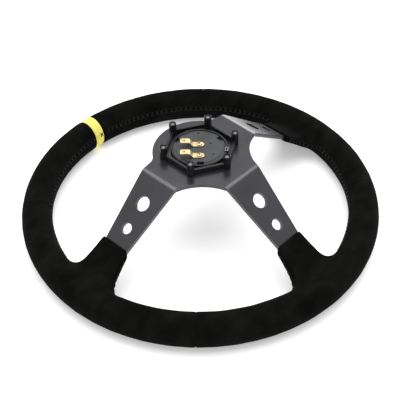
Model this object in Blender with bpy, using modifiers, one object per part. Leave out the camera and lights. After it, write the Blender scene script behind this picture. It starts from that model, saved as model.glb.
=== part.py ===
"""Dished three-spoke steering wheel with a suede grip and a horn button.

The wheel lies face down. +Z is the steering axis and points to the column, z = 0 is the
lowest line of the rim, +Y is twelve o'clock and the spokes are at +X, -X and -Y.
Lengths are in metres. A point along a spoke is given as (s, w): s from the steering
axis outwards, w to the left of that direction.
"""

import bpy
import bmesh
from math import atan, cos, degrees, pi, radians, sin, tan
from mathutils import Matrix, Vector

MM = 0.001
GAP = 0.3 * MM                      # air between two pieces that touch

# Rim
RIM_OD = 350 * MM
GRIP_WIDTH = 29.6 * MM              # across the grip, radially
GRIP_HEIGHT = 33.6 * MM             # across the grip, along the steering axis
SUEDE_T = 1.4 * MM
BAND_WIDTH = 11.6 * MM
BAND_ANGLE = 90                     # the centre band marks twelve o'clock
SEAM_SPREAD = 42                    # degrees from a side spoke to the panel seam above or below
HOOP_WIDTH = 12 * MM
HOOP_HEIGHT = 5 * MM
HOOP_DROP = 1 * MM                  # top of the hoop below the middle of the grip

# Spoke plate
DISH = 68.4 * MM                      # plate's column face above the middle of the grip
PLATE_T = 4 * MM
BEND_R = 54.8 * MM                  # where an arm bends down from the hub
ARM_HALF_W = 20.6 * MM              # at ARM_W_S from the axis
ARM_W_S = 60 * MM
ARM_TAPER = 0.13                    # half-width lost per length
FLARE_REACH = 40 * MM               # the arm widens again this far in from the grip's middle
TAB_HALF_W = 15 * MM
WEB_FILLET = 43 * MM                # between two arms at a right angle
TAB_REACH = 13.4 * MM               # from an arm's lower fold to the hoop
TAB_FILLETS = (30 * MM, 8 * MM, 3 * MM)     # where the flare starts, at the fold, at the end
HUB_FILLET = 12 * MM                # between the hub and the top edge of a side arm
LIGHTENING_HOLES = ((0.37, 7.2 * MM), (0.742, 5.4 * MM))   # (share of the bare arm, radius)

# Hub screws and the ring they pass through
BOLT_PCD = 70 * MM
BOLT_COUNT = 6
SCREW_D = 5 * MM
SCREW_HEAD_H = 2.7 * MM
SOCKET_R = 1.75 * MM
BOSS_WALL = 0.75 * MM
BOSS_H = 13.2 * MM                  # above the plate
BAR_WIDTH = 2.6 * MM
BAR_H = 5.5 * MM
TRIM_T = 2.7 * MM
LAND = 8 * MM                       # metal kept outside the bolt circle, on the trim ring
HUB_LAND = 9.5 * MM                 # the same on the plate

# Horn button
HOUSING_CLEAR = 2.3 * MM            # from the ring's bars to the housing
HOUSING_WALL = 1.6 * MM
HOUSING_RISE = 4.4 * MM             # above the plate's column face
LEDGE_W = 2.6 * MM                  # inside the housing, under the base
LEDGE_T = 1.7 * MM
LUG_W = 1.7 * MM                    # three lugs over the base's edge
LUG_HALF = 6                        # degrees
LUG_BEFORE = 30                     # degrees from a lug to its notch
BEZEL_WALL = 1.1 * MM
BEZEL_CHAMFER = 1.2 * MM
LIP_DROP = 2.5 * MM                 # from the flange to the lip's upper face
FLANGE_STEP = 0.8 * MM
FLANGE_T = 3 * MM
BASE_T = 1.6 * MM
BASE_RAISE = 0.6 * MM
BASE_RIM = 2.4 * MM                 # the lower edge round the base's raised face
BASE_HOLE_R = 0.9 * MM
BASE_HOLES = ((0.82, 46), (0.48, 341), (0.68, 276), (0.45, 113))    # (share of its radius, angle)
CAP_WALL = 1.7 * MM
CAP_LENGTH = 7.6 * MM               # from the retaining flange to the front face
CAP_FLANGE_T = 1.4 * MM
CAP_FLANGE_W = 1.6 * MM
CAP_CLEAR = 1.9 * MM                # from the housing's bore to the cap
CAP_SLACK = 0.4 * MM                # from the cap to the bezel's lip
CAP_ROUND = 3 * MM
CAP_BEAD = 0.5 * MM                 # the front edge stands this far behind the front face
INSERT_EDGE = 5 * MM                # from the cap's side to its recess
RECESS_D = 0.8 * MM
CARRIER = (0.64, 0.72)              # the ring that holds the contact, as shares of the cap's radius
CONTACT_SHARE = 0.84
CONTACT_DROP = 2.1 * MM             # from the flange's top to the contact's lower face
CAP_TRAVEL = 2 * MM
LIP = 1.5 * MM
CONTACT_T = 0.6 * MM
SPRING_R = 7.2 * MM
SPRING_WIRE = 0.9 * MM
SPRING_TURNS = 4
SPRING_DEAD = 0.75                  # turns that lie flat at each end
NOTCH_ANGLES = (346, 106, 226)
NOTCH_HALF = 8                      # degrees
NOTCH_D = 4 * MM
CLIP_ANGLE = 304
CLIP_HALF = 6                       # degrees
CLIP_T = 0.5 * MM
CLIP_FOOT = 1.2 * MM                # from the plate to the clip's outer foot

# Blade terminals on the horn base
BLADE_W = 6.3 * MM
BLADE_T = 0.8 * MM
BLADE_RISE = 4.5 * MM
BLADE_ANGLE = 134
BLADE_HOLE_R = 0.9 * MM
BLADE_HOLE_S = 14.2 * MM            # along the blade from its post
BLADE_REACH = 18 * MM
BLADE_TAIL = 4.5 * MM
BLADE_TAIL_R = 3 * MM
BLADE_CHAMFER = 1.4 * MM
BLADE_RAMP = (6.5 * MM, 9.7 * MM)   # where it climbs
POST_HEAD_H = 0.9 * MM
POST_R = 1.3 * MM
POST_A = Vector((2.2, 2.2)) * MM
POST_PITCH = 16 * MM

# Ear: how a panel runs down a spoke, as (distance in from the rim's centreline,
# flare, swell, squareness); the flare and the swell add to its half-width and half-height
EAR_SECTIONS = (
    (48.0, 0.0, 0.0, 10), (43.0, 0.7, 0.4, 8), (36.0, 2.1, 1.0, 6), (29.6, 3.9, 1.7, 4),
    (24.0, 6.7, 2.5, 3), (19.6, 11.1, 3.6, 2.6), (16.2, 18.1, 5.0, 2.3), (13.2, 28.1, 6.4, 2),
    (7.2, 31.1, 7.6, 2),
)
EAR_LEAN = 0.6 * MM                 # the ears are sewn a little to the right of their arms
EAR_SLACK = 0.4 * MM                # air between the suede and an arm's edge
EAR_FOAM_FROM = 3                   # the foam fills the ear from this section on

RIM_STEPS = 36                      # flats round the hoop and foam
RIVET_R = 2.4 * MM
RIVET_HEAD_R = 4 * MM
RIVET_HEAD_H = 1.6 * MM
RIVET_EDGE = 6 * MM                 # from a tab's side to a rivet

# Worked-out sizes
FACET = 1.2 * RIM_OD / 2 * (1 - cos(pi / RIM_STEPS))    # what the flats take from a gap
RIM_R = (RIM_OD - GRIP_WIDTH) / 2
RIM_MID = GRIP_HEIGHT / 2
PLATE_BACK = RIM_MID + DISH
PLATE_FRONT = PLATE_BACK - PLATE_T
BOLT_R = BOLT_PCD / 2
HUB_R = BOLT_R + HUB_LAND
HOOP_TOP = RIM_MID - HOOP_DROP
TAB_BACK = HOOP_TOP + GAP + PLATE_T
HOOP_IN = RIM_R - HOOP_WIDTH / 2
HOOP_OUT = RIM_R + HOOP_WIDTH / 2
TAB_R = HOOP_IN - TAB_REACH
ARM_SLOPE = (PLATE_BACK - TAB_BACK) / (TAB_R - BEND_R)
ARM_ANGLE = atan(ARM_SLOPE)
BEND_SHIFT = PLATE_T * tan(ARM_ANGLE / 2)
ARM_FLARE_S = RIM_R - FLARE_REACH
EAR_END = RIM_R - EAR_SECTIONS[0][0] * MM
EAR_HALF_W = ARM_HALF_W - ARM_TAPER * (EAR_END - ARM_W_S) + SUEDE_T + EAR_SLACK + EAR_LEAN
EAR_HALF_H = (PLATE_T / 2 + SUEDE_T + 2 * GAP) / cos(ARM_ANGLE)
SCREW_HOLE_R = SCREW_D / 2 + GAP
BOSS_R = SCREW_HOLE_R + BOSS_WALL
HEAD_R = SCREW_D * 0.95
HOUSING_R = BOLT_R * cos(pi / BOLT_COUNT) - BAR_WIDTH / 2 - HOUSING_CLEAR
BORE_R = HOUSING_R - HOUSING_WALL
HOUSING_TOP = PLATE_BACK + HOUSING_RISE
FLANGE_TOP = PLATE_FRONT - GAP
FLANGE_LOW = FLANGE_TOP - FLANGE_T
FLANGE_R = HOUSING_R + FLANGE_STEP
BEZEL_R = FLANGE_R + GAP + BEZEL_WALL
BASE_R = BORE_R - GAP
LEDGE_TOP = HOUSING_TOP - BASE_T - BASE_RAISE - 2 * GAP
BASE_LOW = LEDGE_TOP + GAP
BASE_TOP = BASE_LOW + BASE_T
RAISED_TOP = BASE_TOP + BASE_RAISE
LIP_TOP = FLANGE_LOW - GAP - LIP_DROP
CAP_FLANGE_LOW = LIP_TOP + GAP
CAP_FLANGE_TOP = CAP_FLANGE_LOW + CAP_FLANGE_T
CAP_R = BORE_R - CAP_CLEAR
CAP_FRONT = CAP_FLANGE_LOW - CAP_LENGTH
RECESS_R = CAP_R - INSERT_EDGE
CONTACT_LOW = CAP_FLANGE_TOP - CONTACT_DROP
CONTACT_TOP = CONTACT_LOW + CONTACT_T
POST_END = CONTACT_TOP + CAP_TRAVEL + GAP
BLADE_LOW = RAISED_TOP + GAP

SPOKE_ANGLES = (180, 270, 0)
BOLT_ANGLES = [90 + 360 / BOLT_COUNT * i for i in range(BOLT_COUNT)]

COLOURS = {                          # sRGB colour, roughness, metallic
    "suede": ((0.085, 0.085, 0.08), 0.95, 0.0),
    "yellow": ((0.93, 0.82, 0.22), 0.9, 0.0),
    "foam": ((0.16, 0.16, 0.16), 0.9, 0.0),
    "anodised": ((0.3, 0.3, 0.33), 0.4, 0.8),
    "black_steel": ((0.2, 0.2, 0.21), 0.35, 0.9),
    "steel": ((0.6, 0.6, 0.61), 0.35, 1.0),
    "black_plastic": ((0.13, 0.13, 0.135), 0.4, 0.0),
    "grey_plastic": ((0.38, 0.39, 0.4), 0.5, 0.0),
    "brass": ((0.9, 0.82, 0.5), 0.3, 1.0),
    "print": ((0.2, 0.2, 0.2), 0.25, 0.0),
}


# ---- helpers ---------------------------------------------------------------------

def clear_scene():
    for obj in list(bpy.data.objects):
        bpy.data.objects.remove(obj, do_unlink=True)


def new_collection(name):
    collection = bpy.data.collections.new(name)
    bpy.context.scene.collection.children.link(collection)
    return collection


def material(name):
    """One Principled material for each finish, made the first time it is asked for."""
    if name in bpy.data.materials:
        return bpy.data.materials[name]
    colour, roughness, metallic = COLOURS[name]
    made = bpy.data.materials.new(name)
    made.use_nodes = True
    shader = made.node_tree.nodes["Principled BSDF"]
    linear = [c / 12.92 if c <= 0.04045 else ((c + 0.055) / 1.055) ** 2.4 for c in colour]
    shader.inputs["Base Color"].default_value = (*linear, 1.0)
    shader.inputs["Roughness"].default_value = roughness
    shader.inputs["Metallic"].default_value = metallic
    return made


def add_object(name, mesh, finish):
    """Link a mesh into the wheel's collection; the crown of each round piece shades smooth."""
    obj = bpy.data.objects.new(name, mesh)
    wheel.objects.link(obj)
    if not mesh.materials:
        mesh.materials.append(material(finish))
    mesh.shade_smooth()
    mesh.set_sharp_from_angle(angle=radians(35))
    return obj


def mesh_from(bm, name):
    bmesh.ops.recalc_face_normals(bm, faces=bm.faces)
    mesh = bpy.data.meshes.new(name)
    bm.to_mesh(mesh)
    bm.free()
    return mesh


def add_cutter(name, mesh):
    """A body that only cuts or joins others, so it isn't part of the wheel."""
    obj = bpy.data.objects.new(name, mesh)
    cutters.objects.link(obj)
    obj.hide_render = True
    obj.display_type = "WIRE"
    return obj


def boolean(obj, operation, other):
    mod = obj.modifiers.new(operation.lower(), "BOOLEAN")
    mod.operation = operation
    mod.solver = "EXACT"
    mod.object = other


def along(angle, s, w=0.0, z=0.0):
    """The point (s, w, z) of a spoke or a radius that points at angle degrees."""
    a = radians(angle)
    return Vector((s * cos(a) - w * sin(a), s * sin(a) + w * cos(a), z))


def turned(name, profile, finish, steps=36):
    """A turned piece. The profile runs down the outer side and comes back up the inner one."""
    mesh = bpy.data.meshes.new(name)
    count = len(profile)
    closed = profile[0][0] > 0 or profile[-1][0] > 0
    edges = [(i, (i + 1) % count) for i in range(count if closed else count - 1)]
    mesh.from_pydata([(r, 0, z) for r, z in profile], edges, [])
    obj = add_object(name, mesh, finish)
    mod = obj.modifiers.new("turn", "SCREW")
    mod.axis = "Z"
    mod.steps = steps
    mod.render_steps = steps
    mod.use_merge_vertices = True
    mod.merge_threshold = 0.00001
    return obj


def frozen(obj):
    """The evaluated mesh of an object, which is then removed."""
    bpy.context.view_layer.update()
    evaluated = obj.evaluated_get(bpy.context.evaluated_depsgraph_get())
    mesh = bpy.data.meshes.new_from_object(evaluated)
    mesh.name = obj.name
    bpy.data.objects.remove(obj, do_unlink=True)
    return mesh


def loft(sections):
    """A closed bmesh through sections of equal point count, capped at both ends."""
    bm = bmesh.new()
    rings = [[bm.verts.new(p) for p in section] for section in sections]
    for near, far in zip(rings, rings[1:]):
        for i in range(len(near)):
            j = (i + 1) % len(near)
            bm.faces.new((near[i], near[j], far[j], far[i]))
    bm.faces.new(rings[0])
    bm.faces.new(rings[-1])
    return bm


def swept_arc(section, start, end, steps):
    """A closed section of (r, z) points spun about the axis from start to end degrees."""
    bm = bmesh.new()
    face = bm.faces.new([bm.verts.new(along(start, r, 0, z)) for r, z in section])
    geom = [face] + list(face.edges) + list(face.verts)
    bmesh.ops.spin(bm, geom=geom, cent=(0, 0, 0), axis=(0, 0, 1), angle=radians(end - start),
                   steps=steps, use_merge=False, use_normal_flip=False, use_duplicate=False)
    return bm


def rounded(corners, step=10):
    """A polygon from (point, radius) corners, each rounded by an arc where radius is not 0."""
    points = []
    count = len(corners)
    for i, (corner, radius) in enumerate(corners):
        if not radius:
            points.append(corner)
            continue
        to_last = (corners[i - 1][0] - corner).normalized()
        to_next = (corners[(i + 1) % count][0] - corner).normalized()
        half = to_last.angle(to_next) / 2
        centre = corner + (to_last + to_next).normalized() * radius / sin(half)
        first = corner + to_last * radius / tan(half) - centre
        last = corner + to_next * radius / tan(half) - centre
        turn = first.angle_signed(last)
        parts = max(2, round(abs(degrees(turn)) / step))
        points += [centre + Matrix.Rotation(-turn * k / parts, 2) @ first for k in range(parts + 1)]
    return points


def sheet(outline, low, thickness):
    """A flat plate: the outline filled and raised from low by its thickness."""
    bm = bmesh.new()
    face = bm.faces.new([bm.verts.new((p[0], p[1], low)) for p in outline])
    raised = bmesh.ops.extrude_face_region(bm, geom=[face])["geom"]
    bmesh.ops.translate(bm, verts=[v for v in raised if isinstance(v, bmesh.types.BMVert)],
                        vec=(0, 0, thickness))
    return bm


def fold(bm, angle, low, thickness, start, end, slope):
    """Bend a flat plate along angle: it drops by slope between start and end on its upper face."""
    direction = along(angle, 1)
    shift = thickness * tan(atan(slope) / 2)
    for s in (start, end, start - shift, end - shift):
        bmesh.ops.bisect_plane(bm, geom=list(bm.verts) + list(bm.edges) + list(bm.faces),
                               plane_co=direction * s, plane_no=direction)
    for v in bm.verts:
        back = shift if v.co.z < low + thickness / 2 else 0
        s = min(max(v.co.dot(direction), start - back), end - back)
        v.co.z -= slope * (s - start + back)


def drills(name, holes):
    """One cutter of separate drills, each given as (centre, axis, radius, length, sides)."""
    bm = bmesh.new()
    for centre, axis, radius, length, sides in holes:
        turn = Vector((0, 0, 1)).rotation_difference(Vector(axis)).to_matrix().to_4x4()
        bmesh.ops.create_cone(bm, cap_ends=True, segments=sides, radius1=radius, radius2=radius,
                              depth=length, matrix=Matrix.Translation(centre) @ turn)
    return add_cutter(name, mesh_from(bm, name))


def at_bolts(z):
    return [along(angle, BOLT_R, 0, z) for angle in BOLT_ANGLES]


# ---- rim -------------------------------------------------------------------------

def oval(inset, sides=16):
    """The grip's section, inset from its outer face."""
    half_w = GRIP_WIDTH / 2 - inset
    half_h = GRIP_HEIGHT / 2 - inset
    return [(RIM_R + half_w * cos(2 * pi * i / sides), RIM_MID + half_h * sin(2 * pi * i / sides))
            for i in range(sides)]


def arm_back(s):
    return PLATE_BACK - ARM_SLOPE * (min(max(s, BEND_R), TAB_R) - BEND_R)


def arm_front(s):
    return PLATE_FRONT - ARM_SLOPE * (min(max(s, BEND_R - BEND_SHIFT), TAB_R - BEND_SHIFT)
                                      - BEND_R + BEND_SHIFT)


def ear_section(angle, s, half_w, half_h, square, sides=16):
    """A rounded oblong across an arm, centred on the plate's thickness."""
    middle = (arm_back(s) + arm_front(s)) / 2
    points = []
    for i in range(sides):
        a = 2 * pi * (i + 0.5) / sides
        w = half_w * abs(cos(a)) ** (2 / square) * (1 if cos(a) > 0 else -1)
        h = half_h * abs(sin(a)) ** (2 / square) * (1 if sin(a) > 0 else -1)
        points.append(along(angle, s, w - EAR_LEAN, middle + h))
    return points


def ear(angle, inset, first=0, open_end=False):
    """The body of an ear, inset from its outer face; an open end runs on towards the hub."""
    rise = inset / cos(ARM_ANGLE)
    shapes = []
    for reach, flare, swell, square in EAR_SECTIONS[first:]:
        half_w = EAR_HALF_W + flare * MM - inset
        half_h = EAR_HALF_H + swell * MM - rise
        shapes.append((RIM_R - reach * MM, half_w, half_h, square))
    if open_end:
        shapes.insert(0, (shapes[0][0] - 3 * MM, *shapes[0][1:]))
    return loft([ear_section(angle, *shape) for shape in shapes])


def suede_panel(name, start, end, finish="suede", spoke=None):
    """A skin round the grip between two seams, with an ear where it meets a spoke."""
    trim = degrees(GAP / 2 / RIM_R)
    steps = 2 * max(1, round((end - start) / 18))
    skin = mesh_from(swept_arc(oval(0), start + trim, end - trim, steps), name)
    obj = add_object(name, skin, finish)
    core = mesh_from(swept_arc(oval(SUEDE_T, 12), start - 2, end + 2, steps), name + "_hollow")
    hollow = add_cutter(name + "_hollow", core)
    if spoke is not None:
        outer = add_cutter(name + "_ear", mesh_from(ear(spoke, 0), name + "_ear"))
        inner = mesh_from(ear(spoke, SUEDE_T, open_end=True), name + "_ear_hollow")
        boolean(obj, "UNION", outer)
        boolean(hollow, "UNION", add_cutter(name + "_ear_hollow", inner))
    boolean(obj, "DIFFERENCE", hollow)
    return obj


def rim_covers():
    half_band = degrees(BAND_WIDTH / 2 / RIM_R)
    band_right = BAND_ANGLE - half_band
    band_left = BAND_ANGLE + half_band
    suede_panel("centre_band", band_right, band_left, "yellow")
    suede_panel("suede_top_left", band_left, 180 - SEAM_SPREAD)
    suede_panel("suede_left", 180 - SEAM_SPREAD, 180 + SEAM_SPREAD, spoke=180)
    suede_panel("suede_bottom", 180 + SEAM_SPREAD, 360 - SEAM_SPREAD, spoke=270)
    suede_panel("suede_right", -SEAM_SPREAD, SEAM_SPREAD, spoke=0)
    suede_panel("suede_top_right", SEAM_SPREAD, band_right)


def box_section(r_in, r_out, z_low, z_high):
    return [(r_out, z_high), (r_out, z_low), (r_in, z_low), (r_in, z_high)]


def rivet_places():
    return [along(angle, RIM_R, side * (TAB_HALF_W - RIVET_EDGE))
            for angle in SPOKE_ANGLES for side in (-1, 1)]


def rivet_drills(name):
    """Clearance for the rivets' shanks, through the tabs and the hoop."""
    holes = [(place + Vector((0, 0, RIM_MID)), (0, 0, 1), RIVET_R + 2 * GAP, 30 * MM, 8)
             for place in rivet_places()]
    return drills(name, holes)


def rim_hoop():
    hoop = turned("rim_hoop", box_section(HOOP_IN, HOOP_OUT, HOOP_TOP - HOOP_HEIGHT, HOOP_TOP),
                  "black_steel", steps=RIM_STEPS)
    boolean(hoop, "DIFFERENCE", rivet_drills("hoop_drills"))


def spoke_rivets():
    """Two rivets join each arm's tab to the hoop."""
    top = TAB_BACK + GAP
    low = HOOP_TOP - HOOP_HEIGHT - GAP
    crown = RIVET_HEAD_R * 0.6
    high = top + RIVET_HEAD_H
    foot = low - RIVET_HEAD_H
    profile = [(0, high), (crown, high), (RIVET_HEAD_R, top + RIVET_HEAD_H / 2), (RIVET_HEAD_R, top),
               (RIVET_R, top), (RIVET_R, low), (RIVET_HEAD_R, low),
               (RIVET_HEAD_R, low - RIVET_HEAD_H / 2), (crown, foot), (0, foot)]
    mesh = frozen(turned("spoke_rivet", profile, "steel", steps=8))
    for number, place in enumerate(rivet_places(), 1):
        add_object(f"spoke_rivet_{number}", mesh, "steel").location = place


def arm_slot(angle):
    """The space an arm needs in the foam, with a gap all round."""
    rise = GAP / cos(ARM_ANGLE)
    sections = []
    first = RIM_R - EAR_SECTIONS[EAR_FOAM_FROM][0] * MM - 5 * MM
    half = TAB_HALF_W + GAP
    for s in (first, TAB_R - BEND_SHIFT, TAB_R, HOOP_OUT + 2 * GAP):
        low = arm_front(s) - rise
        high = arm_back(s) + rise
        sections.append([along(angle, s, half, high), along(angle, s, -half, high),
                         along(angle, s, -half, low), along(angle, s, half, low)])
    return mesh_from(loft(sections), "arm_slot")


def rivet_pocket(angle):
    """Room in the foam for the rivets' heads."""
    low = HOOP_TOP - HOOP_HEIGHT - RIVET_HEAD_H - 2 * GAP
    high = TAB_BACK + RIVET_HEAD_H + 2 * GAP
    half = TAB_HALF_W + GAP / 2
    sections = [[along(angle, s, half, high), along(angle, s, -half, high),
                 along(angle, s, -half, low), along(angle, s, half, low)]
                for s in (HOOP_IN - GAP, HOOP_OUT + GAP)]
    return mesh_from(loft(sections), "rivet_pocket")


def grip_foam():
    """Moulded foam round the hoop, with an ear over each arm."""
    inset = SUEDE_T + GAP + FACET
    ring = turned("grip_foam", list(reversed(oval(inset, 12))), "foam", steps=RIM_STEPS)
    channel = turned("hoop_channel", box_section(HOOP_IN - GAP, HOOP_OUT + GAP,
                                                 HOOP_TOP - HOOP_HEIGHT - GAP, HOOP_TOP + GAP),
                     "foam", steps=RIM_STEPS)
    for angle in SPOKE_ANGLES:
        body = mesh_from(ear(angle, inset, first=EAR_FOAM_FROM), "foam_ear")
        boolean(ring, "UNION", add_cutter(f"foam_ear_{angle}", body))
    hollow = add_cutter("hoop_channel_cut", frozen(channel))
    for angle in SPOKE_ANGLES:
        boolean(hollow, "UNION", add_cutter(f"arm_slot_{angle}", arm_slot(angle)))
        boolean(hollow, "UNION", add_cutter(f"rivet_pocket_{angle}", rivet_pocket(angle)))
    boolean(ring, "DIFFERENCE", hollow)


# ---- spoke plate -----------------------------------------------------------------

def arm_half_width(s):
    return ARM_HALF_W - ARM_TAPER * (s - ARM_W_S)


def plate_outline():
    """Counter-clockwise round the hub, with three arms; each corner carries its fillet."""
    meet = (ARM_HALF_W + ARM_TAPER * ARM_W_S) / (1 + ARM_TAPER)
    hub_from = 40
    corners = []
    for i in range(11):
        a = hub_from + (180 - 2 * hub_from) * i / 10
        corners.append((along(a, HUB_R), 0))
    tangent = along(180 - hub_from, HUB_R)
    shoulder_y = arm_half_width(HUB_R)
    shoulder_x = tangent.x - (tangent.y - shoulder_y) * tan(radians(hub_from))
    corners.append((Vector((shoulder_x, shoulder_y, 0)), HUB_FILLET))
    flare_fillet, fold_fillet, end_fillet = TAB_FILLETS
    for angle in SPOKE_ANGLES:
        for side in (-1, 1):
            narrow = side * arm_half_width(ARM_FLARE_S)
            edge = [(along(angle, ARM_FLARE_S, narrow), flare_fillet),
                    (along(angle, TAB_R, side * TAB_HALF_W), fold_fillet),
                    (along(angle, HOOP_OUT, side * TAB_HALF_W), end_fillet)]
            corners += edge if side < 0 else edge[::-1]
        if angle != SPOKE_ANGLES[-1]:
            corners.append((along(angle, meet, meet), WEB_FILLET))
    corners.append((Vector((-shoulder_x, shoulder_y, 0)), HUB_FILLET))
    return rounded([(corner.to_2d(), radius) for corner, radius in corners])


def spoke_plate():
    """One plate, folded at the hub and again where each arm lies on the hoop."""
    bm = sheet(plate_outline(), PLATE_FRONT, PLATE_T)
    for angle in SPOKE_ANGLES:
        fold(bm, angle, PLATE_FRONT, PLATE_T, BEND_R, TAB_R, ARM_SLOPE)
    bmesh.ops.triangulate(bm, faces=bm.faces)
    plate = add_object("spoke_plate", mesh_from(bm, "spoke_plate"), "anodised")
    holes = [(Vector((0, 0, PLATE_BACK)), (0, 0, 1), HOUSING_R + GAP, 30 * MM, 36)]
    holes += [(place, (0, 0, 1), SCREW_HOLE_R, 30 * MM, 12) for place in at_bolts(PLATE_BACK)]
    for angle in SPOKE_ANGLES:
        across = along(angle, sin(ARM_ANGLE), 0, cos(ARM_ANGLE))
        for share, radius in LIGHTENING_HOLES:
            s = BEND_R + share * (EAR_END - BEND_R)
            holes.append((along(angle, s, 0, arm_back(s)), across, radius, 4 * PLATE_T, 20))
    boolean(plate, "DIFFERENCE", drills("plate_drills", holes))
    boolean(plate, "DIFFERENCE", rivet_drills("tab_drills"))


# ---- hub -------------------------------------------------------------------------

def hub_drills(name):
    holes = [(place, (0, 0, 1), SCREW_HOLE_R, 60 * MM, 12) for place in at_bolts(PLATE_BACK)]
    return drills(name, holes)


def boss_ring():
    """A hexagon of bars with a boss round each screw, on the plate's column side."""
    low = PLATE_BACK + GAP
    corner = cos(pi / BOLT_COUNT)
    outer = BOLT_R + BAR_WIDTH / 2 / corner
    inner = BOLT_R - BAR_WIDTH / 2 / corner
    bm = bmesh.new()
    bmesh.ops.create_cone(bm, cap_ends=True, segments=BOLT_COUNT, depth=BAR_H, radius1=outer,
                          radius2=outer, matrix=Matrix.Translation((0, 0, low + BAR_H / 2)))
    ring = add_object("boss_ring", mesh_from(bm, "boss_ring"), "black_plastic")
    opening = [(Vector((0, 0, low)), (0, 0, 1), inner, 40 * MM, BOLT_COUNT)]
    boolean(ring, "DIFFERENCE", drills("ring_opening", opening))
    bosses = [(place, (0, 0, 1), BOSS_R, BOSS_H, 16) for place in at_bolts(low + BOSS_H / 2)]
    boolean(ring, "UNION", drills("bosses", bosses))
    boolean(ring, "DIFFERENCE", hub_drills("boss_bores"))


def trim_ring():
    """A flat ring under the screws' heads, on the driver's side."""
    high = PLATE_FRONT - GAP
    section = box_section(BEZEL_R + GAP, BOLT_R + LAND, high - TRIM_T, high)
    ring = turned("trim_ring", section, "black_steel")
    boolean(ring, "DIFFERENCE", hub_drills("trim_drills"))


def wheel_screws():
    """Socket screws from the driver's side; their ends stop just inside the bosses."""
    seat = PLATE_FRONT - TRIM_T - 2 * GAP
    low = seat - SCREW_HEAD_H
    tip = PLATE_BACK + GAP + BOSS_H - GAP
    shank = SCREW_D / 2
    profile = [(0, tip), (shank * 0.6, tip), (shank, tip - shank * 0.4), (shank, seat),
               (HEAD_R, seat), (HEAD_R, seat - SCREW_HEAD_H * 0.3), (HEAD_R * 0.7, low), (0, low)]
    blank = turned("screw_blank", profile, "black_steel", steps=12)
    socket = [(Vector((0, 0, low)), (0, 0, 1), SOCKET_R, SCREW_HEAD_H, 6)]
    boolean(blank, "DIFFERENCE", drills("screw_socket", socket))
    mesh = frozen(blank)
    for number, angle in enumerate(BOLT_ANGLES, 1):
        add_object(f"wheel_screw_{number}", mesh, "black_steel").location = along(angle, BOLT_R)


# ---- horn button -----------------------------------------------------------------

def arc_block(angle, half_angle, r_in, r_out, z_low, z_high):
    section = box_section(r_in, r_out, z_low, z_high)
    return swept_arc(section, angle - half_angle, angle + half_angle, 2)


def horn_housing():
    """A flanged cup; three lugs at its edge lock the base like a bayonet."""
    ledge_r = BORE_R - LEDGE_W
    ledge_low = LEDGE_TOP - LEDGE_T
    profile = [(HOUSING_R, HOUSING_TOP), (HOUSING_R, FLANGE_TOP), (FLANGE_R, FLANGE_TOP),
               (FLANGE_R, FLANGE_LOW), (BORE_R, FLANGE_LOW), (BORE_R, ledge_low),
               (ledge_r, ledge_low), (ledge_r, LEDGE_TOP), (BORE_R, LEDGE_TOP), (BORE_R, HOUSING_TOP)]
    housing = turned("horn_housing", profile, "black_plastic")
    for angle in NOTCH_ANGLES:
        lug = arc_block(angle - LUG_BEFORE, LUG_HALF, BORE_R - LUG_W, BORE_R + HOUSING_WALL / 2,
                        BASE_TOP + GAP, HOUSING_TOP - GAP / 2)
        boolean(housing, "UNION", add_cutter(f"lug_{angle}", mesh_from(lug, "lug")))


def terminal_posts():
    """Where the two contact posts pass through the base."""
    step = along(BLADE_ANGLE, 0, POST_PITCH)
    return [Vector((*POST_A, 0)), Vector((*POST_A, 0)) + step]


def horn_base():
    """The disc at the back of the button, with a raised face, notches and small holes."""
    raised_r = BASE_R - BASE_RIM
    profile = [(0, RAISED_TOP), (raised_r, RAISED_TOP), (raised_r, BASE_TOP), (BASE_R, BASE_TOP),
               (BASE_R, BASE_LOW), (0, BASE_LOW)]
    base = turned("horn_base", profile, "grey_plastic")
    for angle in NOTCH_ANGLES:
        notch = arc_block(angle, NOTCH_HALF, BASE_R - NOTCH_D, BASE_R + 2 * MM,
                          BASE_LOW - 2 * MM, RAISED_TOP + 2 * MM)
        boolean(base, "DIFFERENCE", add_cutter(f"notch_{angle}", mesh_from(notch, "notch")))
    holes = [(place + Vector((0, 0, BASE_TOP)), (0, 0, 1), POST_R + GAP, 9 * MM, 12)
             for place in terminal_posts()]
    holes += [(along(angle, BASE_R * share, 0, BASE_TOP), (0, 0, 1), BASE_HOLE_R, 9 * MM, 10)
              for share, angle in BASE_HOLES]
    boolean(base, "DIFFERENCE", drills("base_drills", holes))


def blade_terminals():
    """Two brass blades, riveted down at one end and joggled up clear of the base."""
    half = BLADE_W / 2
    near = BLADE_REACH - BLADE_CHAMFER
    inner = half - BLADE_CHAMFER
    outline = [(Vector((-BLADE_TAIL, -half)), BLADE_TAIL_R), (Vector((near, -half)), 0),
               (Vector((BLADE_REACH, -inner)), 0), (Vector((BLADE_REACH, inner)), 0),
               (Vector((near, half)), 0), (Vector((-BLADE_TAIL, half)), BLADE_TAIL_R)]
    bm = sheet(rounded(outline, 22), 0, BLADE_T)
    start, end = BLADE_RAMP
    fold(bm, 0, 0, BLADE_T, start, end, -BLADE_RISE / (end - start))
    bmesh.ops.triangulate(bm, faces=bm.faces)
    blank = add_object("blade_blank", mesh_from(bm, "blade_blank"), "brass")
    eyes = [(Vector((0, 0, 0)), (0, 0, 1), POST_R + GAP, 9 * MM, 12),
            (Vector((BLADE_HOLE_S, 0, BLADE_RISE)), (0, 0, 1), BLADE_HOLE_R, 9 * MM, 10)]
    boolean(blank, "DIFFERENCE", drills("blade_eyes", eyes))
    mesh = frozen(blank)
    for number, place in enumerate(terminal_posts(), 1):
        blade = add_object(f"blade_terminal_{number}", mesh, "brass")
        blade.location = place + Vector((0, 0, BLADE_LOW))
        blade.rotation_euler.z = radians(BLADE_ANGLE)


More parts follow.
